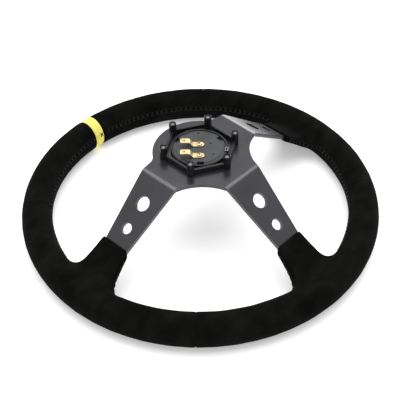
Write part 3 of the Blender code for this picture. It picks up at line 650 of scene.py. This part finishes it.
def seamPaths(start, end, spoke):
    # the long seam follows the inner side of the grip and turns up both sides of an ear
    a = radians(grip["seamAt"])
    r = gripRadius + grip["width"] / 2 * cos(a)
    z = gripMid + grip["height"] / 2 * sin(a)
    step = 1.2

    def ringRun(first, last):
        count = max(2, round(abs(last - first) / step))
        return [along(first + (last - first) * i / count, r, 0, z) for i in range(count + 1)]

    if spoke is None:
        return [ringRun(start, end)]
    paths = []
    for side, first in ((-1, start), (1, end)):
        run = ringRun(first, spoke + side * 15.5)
        for reach in (20.5, 23, 26, 30, 34, 38, 43, 47.2):
            s = gripRadius - reach * mm
            top, lean = plateLevel(s)
            w = side * earHalfWidth(s) - ears["lean"]
            run.append(along(spoke, s, w, top - plate["thickness"] / 2 / cos(lean)))
        paths.append(run)
    return paths


def evenPoints(run, spacing, tree):
    # points a fixed step apart along a run, put on the surface
    smooth = []
    for i in range(len(run) - 1):
        p0, p1, p2, p3 = run[max(i - 1, 0)], run[i], run[i + 1], run[min(i + 2, len(run) - 1)]
        for k in range(12):
            t = k / 12
            smooth.append(0.5 * (2 * p1 + (p2 - p0) * t + (2 * p0 - 5 * p1 + 4 * p2 - p3) * t * t
                                 + (3 * p1 - p0 - 3 * p2 + p3) * t ** 3))
    smooth.append(run[-1])
    points = [tree.find_nearest(p)[0] for p in smooth]
    kept = [points[0]]
    carried = 0.0
    for before, after in zip(points, points[1:]):
        length = (after - before).length
        while length > 0 and carried + length >= spacing:
            before = before.lerp(after, (spacing - carried) / length)
            length = (after - before).length
            carried = 0.0
            kept.append(before)
        carried += length
    return kept


def refined(bm, tree, reach, cuts):
    # splits the faces near a line of points, so that a narrow groove has enough vertices
    for cut in range(cuts):
        faces = [f for f in bm.faces if tree.find(f.calc_center_median())[2] < reach + f.calc_perimeter() / 8]
        edges = once(e for f in faces for e in f.edges)
        bmesh.ops.subdivide_edges(bm, edges=edges, cuts=1, use_grid_fill=True)


def pointTree(points):
    tree = KDTree(len(points))
    for i, p in enumerate(points):
        tree.insert(p, i)
    tree.balance()
    return tree


def gripSkin(name, start, end, spoke, finish, node):
    trim = (grip["gap"] / 2) / gripRadius * 180 / pi
    spare = 1.5 if spoke is not None else 0.0
    steps = round(radians(end - start + 2 * spare) * gripRadius / grip["facet"])
    bm = ringTube(start + trim - spare, end - trim + spare, steps, 72, capped=spoke is not None)
    if spoke is not None:
        bm = merged(bm, earBody(spoke))
        bm = worked(bm, [("REMESH", {"mode": "VOXEL", "voxel_size": grip["voxel"], "use_smooth_shade": True})])
        smoothCrease(bm, spoke)
        trimEnds(bm, start + trim, end - trim)
        cutAt(bm, along(spoke, ears["end"], 0, plateLevel(ears["end"])[0]), -along(spoke, 1), 26 * mm)
    bmesh.ops.recalc_face_normals(bm, faces=bm.faces)
    surface = BVHTree.FromBMesh(bm)
    runs = seamPaths(start + trim, end - trim, spoke)
    seams = [evenPoints(run, 0.5 * mm, surface) for run in runs]
    seamTree = pointTree([p for seam in seams for p in seam])
    rimPoints = [v.co.copy() for v in bm.verts if v.is_boundary]
    refined(bm, seamTree, 1.8 * mm, 2)
    rimTree = pointTree(rimPoints)
    refined(bm, rimTree, 1.4 * mm, 1)
    bmesh.ops.recalc_face_normals(bm, faces=bm.faces)
    rimPoints = [v.co.copy() for v in bm.verts if v.is_boundary]
    rimTree = pointTree(rimPoints)
    outer = BVHTree.FromBMesh(bm)
    bm = worked(bm, [("SOLIDIFY", {"thickness": grip["skin"], "offset": -1.0, "use_even_offset": False})])
    bm.normal_update()
    moves = []
    for v in bm.verts:
        place, normal, index, distance = outer.find_nearest(v.co)
        if distance > 0.1 * mm:
            continue
        seamAway = seamTree.find(v.co)[2]
        rimAway = rimTree.find(v.co)[2]
        sunk = grip["seamDepth"] * 2.718 ** (-(seamAway / grip["seamWidth"]) ** 2)
        if rimAway < grip["rollWidth"]:
            sunk = max(sunk, grip["rollDepth"] * (1 - rimAway / grip["rollWidth"]) ** 2)
        sunk -= grip["wave"] * noise.noise(v.co / (11 * mm)) * min(1, rimAway / (3 * mm))
        moves.append((v, normal * -sunk))
    for v, move in moves:
        v.co += move
    piece(name, bm, finish, [node], sharp=60)
    print(name, "made")
    return surface, runs


def threadBlank():
    # one thread end to end along X, from -1 to 1, six-sided
    bm = bmesh.new()
    rings = 7
    first = bmesh.ops.create_circle(bm, cap_ends=True, segments=6, radius=1)["verts"]
    for v in first:
        v.co = Vector((-1, v.co.x, v.co.y))
    face = bm.faces[:][0]
    for i in range(rings - 1):
        grown = bmesh.ops.extrude_face_region(bm, geom=[face])["geom"]
        face = [g for g in grown if isinstance(g, bmesh.types.BMFace)][0]
        bmesh.ops.translate(bm, verts=face.verts, vec=(2 / (rings - 1), 0, 0))
    inner = [f for f in bm.faces if abs(f.normal.x) > 0.5 and abs(f.calc_center_median().x) < 0.99]
    bmesh.ops.delete(bm, geom=inner, context="FACES_ONLY")
    bmesh.ops.recalc_face_normals(bm, faces=bm.faces)
    return meshOf(bm, "thread")


def sewCrosses(name, surface, runs, blank):
    # a cross stitch every few millimetres along a seam; each thread dips into the suede at its ends
    bm = bmesh.new()
    for run in runs:
        points = evenPoints(run, stitch["pitch"] / 2, surface)
        for i in range(1, len(points) - 1, 2):
            centre = points[i]
            ahead = (points[i + 1] - points[i - 1]).normalized()
            normal = surface.find_nearest(centre)[1]
            across = normal.cross(ahead).normalized()
            for lean in (-1, 1):
                count = len(bm.verts)
                bm.from_mesh(blank)
                bm.verts.ensure_lookup_table()
                for v in bm.verts[count:]:
                    u = v.co.x
                    aim = centre + across * u * stitch["across"] + ahead * u * lean * stitch["lean"]
                    on, up = surface.find_nearest(aim)[:2]
                    side = up.cross(across * stitch["across"] + ahead * lean * stitch["lean"]).normalized()
                    rise = stitch["proud"] * (1 + 0.5 * lean * (1 - u * u)) - 0.6 * mm * abs(u) ** 6
                    v.co = on + up * rise + (side * v.co.y + up * v.co.z) * stitch["thread"]
    bmesh.ops.recalc_face_normals(bm, faces=bm.faces)
    piece(name, bm, blackThread, [], sharp=180)


def makeGrip():
    half = grip["bandWidth"] / 2 / gripRadius * 180 / pi
    right = grip["bandAngle"] - half
    left = grip["bandAngle"] + half
    spread = grip["seamSpread"]
    panels = (
        ("topLeft", left, 180 - spread, None, blackSuede, "suede_top_left", "suede"),
        ("topRight", spread, right, None, blackSuede, "suede_top_right", "suede"),
        ("centreBand", right, left, None, yellowSuede, "centre_band", "band"),
        ("left", 180 - spread, 180 + spread, 180, blackSuede, "suede_left", "suede"),
        ("bottom", 180 + spread, 360 - spread, 270, blackSuede, "suede_bottom", "suede"),
        ("right", -spread, spread, 0, blackSuede, "suede_right", "suede"),
    )
    blank = threadBlank()
    for name, start, end, spoke, finish, node, slot in panels:
        surface, runs = gripSkin("grip_skin_" + name, start, end, spoke, finish, node)
        sewCrosses("grip_stitches_" + name, surface, runs, blank)
    bpy.data.meshes.remove(blank)


makeGrip()
print("grip made")


def keepNode(node, finish):
    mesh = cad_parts[node].data
    mesh.materials.clear()
    mesh.materials.append(finish)


keepNode("grip_foam", gripFoam)
keepNode("rim_hoop", blackSteel)
for number in range(1, 7):
    keepNode(f"spoke_rivet_{number}", brightSteel)


# spoke plate

def armHalfWidth(s):
    return plate["armHalfWidth"] - plate["taper"] * (s - plate["armAt"])


def plateCorners():
    # counter-clockwise corners of the flat blank, each with the radius it is rounded by
    meet = (plate["armHalfWidth"] + plate["taper"] * plate["armAt"]) / (1 + plate["taper"])
    hubFrom = plate["hubFrom"]
    arc = 24
    corners = [(along(hubFrom + (180 - 2 * hubFrom) * i / arc, plate["hubRadius"]), 0) for i in range(arc + 1)]
    tangent = along(180 - hubFrom, plate["hubRadius"])
    y = armHalfWidth(plate["hubRadius"])
    x = tangent.x - (tangent.y - y) * tan(radians(hubFrom))
    corners.append((Vector((x, y, 0)), plate["hubFillet"]))
    for angle in (180, 270, 0):
        for side in (-1, 1):
            half = plate["tabHalfWidth"]
            edge = [(along(angle, plate["flareAt"], side * armHalfWidth(plate["flareAt"])), 30 * mm),
                    (along(angle, plate["tabAt"], side * half), 8 * mm),
                    (along(angle, plate["tabEnd"], side * half), 3 * mm)]
            corners += edge if side < 0 else edge[::-1]
        if angle != 0:
            corners.append((along(angle, meet, meet), plate["webFillet"]))
    corners.append((Vector((-x, y, 0)), plate["hubFillet"]))
    return corners


def roundCorners(bm, corners):
    verts = [bm.verts.new(place) for place, radius in corners]
    bm.faces.new(verts)
    for i, (place, radius) in enumerate(corners):
        if radius:
            toLast = (corners[i - 1][0] - place).normalized()
            toNext = (corners[(i + 1) % len(corners)][0] - place).normalized()
            offset = radius / tan(toLast.angle(toNext) / 2)
            segments = 24 if radius > 20 * mm and offset > 10 * mm else 10
            bmesh.ops.bevel(bm, geom=[verts[i]], offset=offset, offset_type="OFFSET", segments=segments,
                            profile=0.5, affect="VERTICES", clamp_overlap=False, material=-1)


def makePlate():
    bm = bmesh.new()
    roundCorners(bm, plateCorners())
    raised = bmesh.ops.extrude_face_region(bm, geom=bm.faces[:])["geom"]
    bmesh.ops.translate(bm, verts=[g for g in raised if isinstance(g, bmesh.types.BMVert)],
                        vec=(0, 0, -plate["thickness"]))
    bmesh.ops.recalc_face_normals(bm, faces=bm.faces)
    cutter = bmesh.new()
    openings = [(Vector(), hub["housingHole"], 1, 0)]
    openings += [(place, hub["screwHole"], 1, 0) for place in boltPlaces()]
    openings += [(along(angle, s, 0), radius, cos(armAngle), angle)
                 for angle in spokeAngles.values() for s, radius in plate["holes"]]
    for place, radius, squeeze, angle in openings:
        shape = Matrix.Rotation(radians(angle), 4, "Z") @ Matrix.Diagonal((squeeze, 1, 1, 1))
        bmesh.ops.create_cone(cutter, cap_ends=True, segments=64, radius1=radius, radius2=radius,
                              depth=40 * mm, matrix=Matrix.Translation(place) @ shape)
    bm = joined(bm, cutter, "DIFFERENCE")
    bands = 8
    for angle in spokeAngles.values():
        out = along(angle, 1)
        for fold, radius in ((plate["bendAt"], plate["bendRadius"]), (plate["tabAt"], plate["tabRadius"])):
            reach = radius * tan(armAngle / 2)
            ends = 0.4 * mm  # a narrow strip each side keeps the shading of the flats flat
            places = [fold - reach + 2 * reach * i / bands for i in range(bands + 1)]
            for s in [fold - reach - ends, *places, fold + reach + ends]:
                place = out * s
                bmesh.ops.bisect_plane(bm, geom=bm.verts[:] + bm.edges[:] + bm.faces[:], plane_co=place,
                                       plane_no=out, dist=0.0001 * mm)
    for v in bm.verts:
        depth = v.co.z
        for angle in spokeAngles.values():
            s = v.co.dot(along(angle, 1))
            if s > plate["bendAt"] - plate["bendRadius"]:
                w = v.co.dot(along(angle, 0, 1))
                level, lean = plateLevel(s)
                v.co = along(angle, s + depth * sin(lean), w, level + depth * cos(lean) - plateTop)
                break
        v.co.z += plateTop
    eased(bm, plate["edge"], 50, 2)
    piece("hub_spoke_plate", bm, satinPlate, ["spoke_plate"], sharp=30)


# hub: boss ring, screws and trim ring

hub = {
    "boltRadius": 35.0 * mm, "bolts": 6, "screwHole": 2.8 * mm, "housingHole": 27.0 * mm,
    "bossRadius": 3.55 * mm, "barWidth": 2.6 * mm, "barHeight": 5.5 * mm, "round": 0.55 * mm,
    "shank": 2.5 * mm, "head": 4.75 * mm, "headHeight": 2.7 * mm, "socket": 1.75 * mm,
    "threadPitch": 0.8 * mm, "threadDepth": 0.35 * mm, "threadLength": 9.0 * mm,
}


def boltPlaces(z=0.0):
    return [along(90 + 360 / hub["bolts"] * i, hub["boltRadius"], 0, z) for i in range(hub["bolts"])]


def makeBossRing():
    corner = cos(pi / hub["bolts"])
    bm = bmesh.new()
    radius = hub["boltRadius"] + hub["barWidth"] / 2 / corner
    bmesh.ops.create_circle(bm, cap_ends=True, segments=hub["bolts"], radius=radius,
                            matrix=Matrix.Translation((0, 0, ringLow)))
    bmesh.ops.inset_region(bm, faces=bm.faces[:], thickness=hub["barWidth"], use_even_offset=True,
                           use_boundary=True)
    centre = min(bm.faces, key=lambda f: f.calc_center_median().xy.length)
    bmesh.ops.delete(bm, geom=[centre], context="FACES_ONLY")
    raised = bmesh.ops.extrude_face_region(bm, geom=bm.faces[:])["geom"]
    bmesh.ops.translate(bm, verts=[g for g in raised if isinstance(g, bmesh.types.BMVert)],
                        vec=(0, 0, hub["barHeight"]))
    bmesh.ops.recalc_face_normals(bm, faces=bm.faces)
    eased(bm, hub["round"], 60, 3, lambda e: abs(e.verts[0].co.z - e.verts[1].co.z) < 0.1 * mm)
    # all six bosses go on in one union, with their feet just above the ring's: feet at the same level leave
    # the shape open, and putting the bosses on one after another loses most of it
    foot = ringLow + 0.02 * mm
    solid = turned([(0, foot), (hub["bossRadius"], foot), (hub["bossRadius"], bossTop - 0.4 * mm),
                    (hub["bossRadius"] - 0.4 * mm, bossTop), (0, bossTop)], 40)
    bosses = bmesh.new()
    for place in boltPlaces():
        merged(bosses, placed(solid, place))
    solid.free()
    bores = borers([(Vector((p.x, p.y, ringLow)), (0, 0, 1), hub["screwHole"], 60 * mm) for p in boltPlaces()])
    bm = worked(bm, [("BOOLEAN", {"operation": "UNION", "solver": "EXACT", "object": 0}),
                     ("BOOLEAN", {"operation": "DIFFERENCE", "solver": "EXACT", "object": 1})], [bosses, bores])
    piece("hub_boss_ring", bm, glossNylon, ["boss_ring"], sharp=32)


def makeScrews():
    low, tip = levels("wheel_screw_1")
    seat = low + hub["headHeight"]
    shank = hub["shank"]
    profile = [(0, tip), (shank * 0.55, tip), (shank - hub["threadDepth"], tip - 0.4 * mm)]
    turns = int(hub["threadLength"] / hub["threadPitch"])
    for i in range(turns):
        z = tip - 0.5 * mm - i * hub["threadPitch"]
        profile += [(shank, z - hub["threadPitch"] * 0.4), (shank - hub["threadDepth"], z - hub["threadPitch"] * 0.9)]
    profile += [(shank, profile[-1][1] - 0.5 * mm), (shank, seat), (hub["head"], seat),
                (hub["head"], seat - hub["headHeight"] * 0.35), (hub["head"] * 0.9, seat - hub["headHeight"] * 0.72),
                (hub["head"] * 0.7, low), (0, low)]
    blank = turned(profile, 40)
    blank = drilled(blank, [(Vector((0, 0, low)), (0, 0, 1), hub["socket"], hub["headHeight"])], 6)
    for number, place in enumerate(boltPlaces(), 1):
        piece(f"hub_screw_{number}", placed(blank, place), blackSteel, [f"wheel_screw_{number}"],
              sharp=30)
    blank.free()


def makeTrimRing():
    low, high = levels("trim_ring")
    inner = outerRadius("horn_bezel") + grip["gap"]
    bm = eased(turned(oblong(inner, outerRadius("trim_ring"), low, high), 120), 0.5 * mm, 50, 3)
    bm = drilled(bm, [(Vector((p.x, p.y, low)), (0, 0, 1), hub["screwHole"], 20 * mm) for p in boltPlaces()])
    piece("hub_trim_ring", bm, blackSteel, ["trim_ring"], sharp=30)


makePlate()
print("spoke plate made")
makeBossRing()
makeScrews()
makeTrimRing()
print("hub made")


# horn button

horn = {
    "wall": 1.6 * mm, "flangeStep": 0.8 * mm, "flangeHeight": 3.0 * mm, "ledge": 2.6 * mm,
    "notches": (346, 106, 226), "notchHalf": 8, "lugHalf": 6, "raise": 0.6 * mm,
    "bladeWidth": 6.3 * mm, "bladeThickness": 0.8 * mm, "bladeRise": 4.5 * mm, "bladeReach": 18.0 * mm,
    "bladeRamp": (6.5 * mm, 9.7 * mm), "bladeAngle": 134, "bladeHole": 0.9 * mm, "bladeEye": 14.2 * mm,
    "postFirst": Vector((2.2, 2.2, 0)) * mm, "postPitch": 16.0 * mm, "postRadius": 1.3 * mm,
    "clipAngle": 304, "clipHalf": 6, "clipThickness": 0.5 * mm, "clipBar": 0.75 * mm,
    "springRadius": 7.2 * mm, "springWire": 0.9 * mm, "springTurns": 4, "springDead": 0.75,
}
baseLow, raisedTop = levels("horn_base")
housingLow, housingTop = levels("horn_housing")
flangeRadius = outerRadius("horn_housing")
housingRadius = flangeRadius - horn["flangeStep"]
boreRadius = housingRadius - horn["wall"]
flangeTop = housingLow + horn["flangeHeight"]
baseTop = raisedTop - horn["raise"]


def makeHousing():
    ledgeTop = baseLow - grip["gap"]
    ledgeRadius = boreRadius - horn["ledge"]
    profile = [(housingRadius, housingTop), (housingRadius, flangeTop), (flangeRadius, flangeTop),
               (flangeRadius, housingLow), (boreRadius, housingLow), (boreRadius, ledgeTop - 1.7 * mm),
               (ledgeRadius, ledgeTop - 1.7 * mm), (ledgeRadius, ledgeTop), (boreRadius, ledgeTop),
               (boreRadius, housingTop)]
    bm = eased(turned(profile, 120), 0.25 * mm, 50, 2)
    for angle in horn["notches"]:
        section = oblong(boreRadius - 1.7 * mm, boreRadius + horn["wall"] / 2, baseTop + grip["gap"],
                         housingTop - 0.35 * mm)
        bm = joined(bm, arcBlock(angle - 30, horn["lugHalf"], section))
    piece("horn_case", bm, glossNylon, ["horn_housing"], sharp=32)


def postPlaces():
    step = along(horn["bladeAngle"], 0, horn["postPitch"])
    return [horn["postFirst"], horn["postFirst"] + step]


def makeBase():
    radius = outerRadius("horn_base")
    raisedRadius = radius - 2.4 * mm
    profile = [(0, raisedTop), (raisedRadius, raisedTop), (raisedRadius, baseTop), (radius, baseTop),
               (radius, baseLow), (0, baseLow)]
    bm = eased(turned(profile, 120), 0.2 * mm, 50, 2)
    for angle in horn["notches"]:
        section = oblong(radius - 4 * mm, radius + 2 * mm, baseLow - 2 * mm, raisedTop + 2 * mm)
        bm = joined(bm, arcBlock(angle, horn["notchHalf"], section), "DIFFERENCE")
    holes = [(p + Vector((0, 0, baseTop)), (0, 0, 1), horn["postRadius"] + grip["gap"], 9 * mm)
             for p in postPlaces()]
    small = ((0.82, 46), (0.48, 341), (0.68, 276), (0.45, 113))
    holes += [(along(angle, radius * share, 0, baseTop), (0, 0, 1), 0.9 * mm, 9 * mm) for share, angle in small]
    bm = drilled(bm, holes, 28)
    piece("horn_back", bm, greyNylon, ["horn_base"], sharp=32)


def makeBlades():
    half = horn["bladeWidth"] / 2
    reach = horn["bladeReach"]
    tail = -4.5 * mm
    bm = bmesh.new()
    chamfer = 1.4 * mm
    corners = [(Vector((tail, -half, 0)), 3 * mm), (Vector((reach, -half, 0)), chamfer),
               (Vector((reach, half, 0)), chamfer), (Vector((tail, half, 0)), 3 * mm)]
    roundCorners(bm, corners)
    raised = bmesh.ops.extrude_face_region(bm, geom=bm.faces[:])["geom"]
    bmesh.ops.translate(bm, verts=[g for g in raised if isinstance(g, bmesh.types.BMVert)],
                        vec=(0, 0, horn["bladeThickness"]))
    bmesh.ops.recalc_face_normals(bm, faces=bm.faces)
    eyes = [(Vector(), (0, 0, 1), horn["postRadius"] + grip["gap"], 9 * mm),
            (Vector((horn["bladeEye"], 0, 0)), (0, 0, 1), horn["bladeHole"], 9 * mm)]
    bm = drilled(bm, eyes, 28)
    first, last = horn["bladeRamp"]
    soft = 0.9 * mm
    for i in range(25):
        place = Vector((first - soft + (last - first + 2 * soft) * i / 24, 0, 0))
        bmesh.ops.bisect_plane(bm, geom=bm.verts[:] + bm.edges[:] + bm.faces[:], plane_co=place,
                               plane_no=(1, 0, 0), dist=0.0001 * mm)
    for v in bm.verts:
        part = min(max((v.co.x - first + soft) / (last - first + 2 * soft), 0), 1)
        slope = 6 * part * (1 - part) * horn["bladeRise"] / (last - first + 2 * soft)
        depth = v.co.z
        v.co.z = horn["bladeRise"] * part * part * (3 - 2 * part) + depth / hypot(1, slope)
        v.co.x -= depth * slope / hypot(1, slope)
    eased(bm, 0.15 * mm, 60, 2)
    low = levels("blade_terminal_1")[0]
    for number, place in enumerate(postPlaces(), 1):
        blade = placed(bm, place + Vector((0, 0, low)), radians(horn["bladeAngle"]))
        piece(f"horn_blade_{number}", blade, stripBrass, [f"blade_terminal_{number}"], sharp=30)
    bm.free()


def makePosts():
    low, high = levels("contact_post_1")
    r = horn["postRadius"]
    head = r * 2
    seat = high - 0.9 * mm
    bore = r * 0.82
    profile = [(0, high - 1.6 * mm), (bore, high - 1.6 * mm), (bore, high - 0.1 * mm), (bore + 0.1 * mm, high),
               (head * 0.7, high), (head * 0.92, high - 0.3 * mm), (head, seat + 0.2 * mm), (head, seat), (r, seat),
               (r, low + 0.4 * mm), (r * 0.6, low), (0, low)]
    bm = turned(profile, 32)
    for number, place in enumerate(postPlaces(), 1):
        piece(f"horn_rivet_{number}", placed(bm, place), stripBrass, [f"contact_post_{number}"], sharp=40)
    bm.free()
    # black resin seals each hollow rivet just below its lip
    seal = turned([(0, high - 1.5 * mm), (bore - 0.02 * mm, high - 1.5 * mm), (bore - 0.02 * mm, high - 0.7 * mm),
                   (0, high - 0.9 * mm)], 32)
    for number, place in enumerate(postPlaces(), 1):
        piece(f"horn_rivet_seal_{number}", placed(seal, place), sealResin, [], sharp=40)
    seal.free()


def makeClip():
    t = horn["clipThickness"]
    low, high = levels("edge_clip")
    inner = boreRadius - grip["gap"]
    outer = housingRadius + grip["gap"]
    section = [(inner, raisedTop - 0.1 * mm), (inner, high - t), (outer, high - t), (outer, low),
               (outer + t, low), (outer + t, high), (inner - t, high), (inner - t, raisedTop - 0.1 * mm)]
    bar = horn["clipBar"]
    window = arcBlock(horn["clipAngle"], horn["clipHalf"] * 0.74, oblong(inner - t + bar, outer + t - bar,
                                                                        high - 3 * t, high + t))
    bm = joined(arcBlock(horn["clipAngle"], horn["clipHalf"], section), window, "DIFFERENCE")
    eased(bm, 0.1 * mm, 50, 2)
    piece("horn_edge_clip", bm, brightSteel, ["edge_clip"], sharp=30)


def makeBezel():
    low, high = levels("horn_bezel")
    outer = outerRadius("horn_bezel")
    capRadius = boreRadius - 1.9 * mm
    skirt = flangeRadius + grip["gap"]
    lip = housingLow - grip["gap"] - 2.5 * mm
    profile = [(outer, high), (outer, low + 1.6 * mm), (outer - 0.5 * mm, low + 0.5 * mm), (outer - 1.6 * mm, low),
               (capRadius + 0.4 * mm, low), (capRadius + 0.4 * mm, lip), (boreRadius + grip["gap"], lip),
               (boreRadius + grip["gap"], housingLow - grip["gap"]), (skirt, housingLow - grip["gap"]),
               (skirt, high)]
    bm = eased(turned(profile, 120), 0.2 * mm, 50, 2)
    piece("horn_bezel_ring", bm, glossNylon, ["horn_bezel"], sharp=32)


def makeCap():
    low, high = levels("horn_cap")
    flange = outerRadius("horn_cap")
    capRadius = boreRadius - 1.9 * mm
    recess = capRadius - 5 * mm
    recessTop = low + 0.8 * mm
    inner = capRadius - 1.7 * mm
    floorTop = recessTop + 1.7 * mm
    contactLow = levels("contact_disc")[0] - grip["gap"]
    carrier = (capRadius * 0.64, capRadius * 0.72)
    curve = 3 * mm
    round_ = [(capRadius - curve + curve * cos(pi * i / 16), low + 0.5 * mm + curve - curve * sin(pi * i / 16))
              for i in range(9)]
    profile = [(0, floorTop), (carrier[0], floorTop), (carrier[0], contactLow), (carrier[1], contactLow),
               (carrier[1], floorTop), (inner - 2 * mm, floorTop), (inner, floorTop + 2 * mm), (inner, high),
               (flange, high), (flange, high - 1.4 * mm), (capRadius, high - 1.4 * mm), *round_,
               (recess, low), (recess, recessTop), (0, recessTop)]
    bm = eased(turned(profile, 120), 0.15 * mm, 60, 2)
    piece("horn_cap_shell", bm, glossNylon, ["horn_cap"], "horn_button", 32)


def makeInsert():
    low, high = levels("cap_insert")
    radius = outerRadius("cap_insert")
    bm = turned([(0, high), (radius, high), (radius, low + 0.25 * mm), (radius - 0.25 * mm, low), (0, low)], 120)
    piece("horn_insert", bm, badgeBlack, ["cap_insert"], "horn_button", 32)
    # a plain horn sign: a bell with a bulb, and two sound lines
    ink = 0.05 * mm
    sign = bmesh.new()
    bell = [(-7.5, 1.2), (-1.0, 1.6), (4.0, 5.2), (4.0, -5.2), (-1.0, -1.6), (-7.5, -1.2)]
    sign.faces.new([sign.verts.new((x * mm, y * mm, 0)) for x, y in bell])
    bmesh.ops.create_circle(sign, cap_ends=True, segments=32, radius=2.6 * mm,
                            matrix=Matrix.Translation((-9.2 * mm, 0, 0)))
    for radius in (4.6 * mm, 7.4 * mm):
        edge = [sign.verts.new(Vector((5 * mm + r * cos(radians(-38)), r * sin(radians(-38)), 0)))
                for r in (radius, radius + 1.1 * mm)]
        bmesh.ops.spin(sign, geom=[*edge, sign.edges.new(edge)], cent=(5 * mm, 0, 0), axis=(0, 0, 1),
                       angle=radians(76), steps=16, use_merge=False, use_normal_flip=False, use_duplicate=False)
    raised = bmesh.ops.extrude_face_region(sign, geom=sign.faces[:])["geom"]
    bmesh.ops.translate(sign, verts=[g for g in raised if isinstance(g, bmesh.types.BMVert)], vec=(0, 0, -ink))
    bmesh.ops.recalc_face_normals(sign, faces=sign.faces)
    bmesh.ops.translate(sign, verts=sign.verts, vec=(0, 0, low - 0.01 * mm))
    piece("horn_sign", sign, badgeInk, [], "horn_button", 32)


def makeContact():
    low, high = levels("contact_disc")
    radius = outerRadius("contact_disc")
    bm = eased(turned([(0, high), (radius, high), (radius, low), (0, low)], 72), 0.12 * mm, 50, 2)
    piece("horn_contact", bm, stripBrass, ["contact_disc"], "horn_button", 32)


def makeSpring():
    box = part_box("horn_spring")
    wire = horn["springWire"]
    low = box[0].z + wire / 2
    high = box[1].z - wire / 2
    perTurn = 28
    dead = horn["springDead"]
    total = horn["springTurns"] + 2 * dead
    closePitch = wire * 1.25
    liveRise = high - low - 2 * dead * closePitch
    count = round(total * perTurn)
    curve = bpy.data.curves.new("spring", "CURVE")
    curve.dimensions = "3D"
    curve.bevel_depth = wire / 2
    curve.bevel_resolution = 3
    curve.use_fill_caps = True
    spline = curve.splines.new("POLY")
    spline.points.add(count)
    for i, point in enumerate(spline.points):
        turn = total * i / count
        before = min(turn, dead)
        after = max(turn - dead - horn["springTurns"], 0)
        live = turn - before - after
        z = low + (before + after) * closePitch + liveRise * live / horn["springTurns"]
        point.co = (*along(360 * turn, horn["springRadius"]).xy, z, 1)
    guide = bpy.data.objects.new("spring", curve)
    bpy.context.scene.collection.objects.link(guide)
    bpy.context.view_layer.update()
    mesh = bpy.data.meshes.new_from_object(guide.evaluated_get(bpy.context.evaluated_depsgraph_get()))
    bpy.data.objects.remove(guide)
    bm = bmesh.new()
    bm.from_mesh(mesh)
    bpy.data.meshes.remove(mesh)
    bmesh.ops.remove_doubles(bm, verts=bm.verts, dist=0.005 * mm)
    bmesh.ops.recalc_face_normals(bm, faces=bm.faces)
    spring = piece("horn_return_spring", bm, brightSteel, ["horn_spring"], sharp=60)
    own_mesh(spring)


makeHousing()
makeBase()
makeBlades()
makePosts()
makeClip()
makeBezel()
makeCap()
makeInsert()
makeContact()
makeSpring()
print("horn button made")
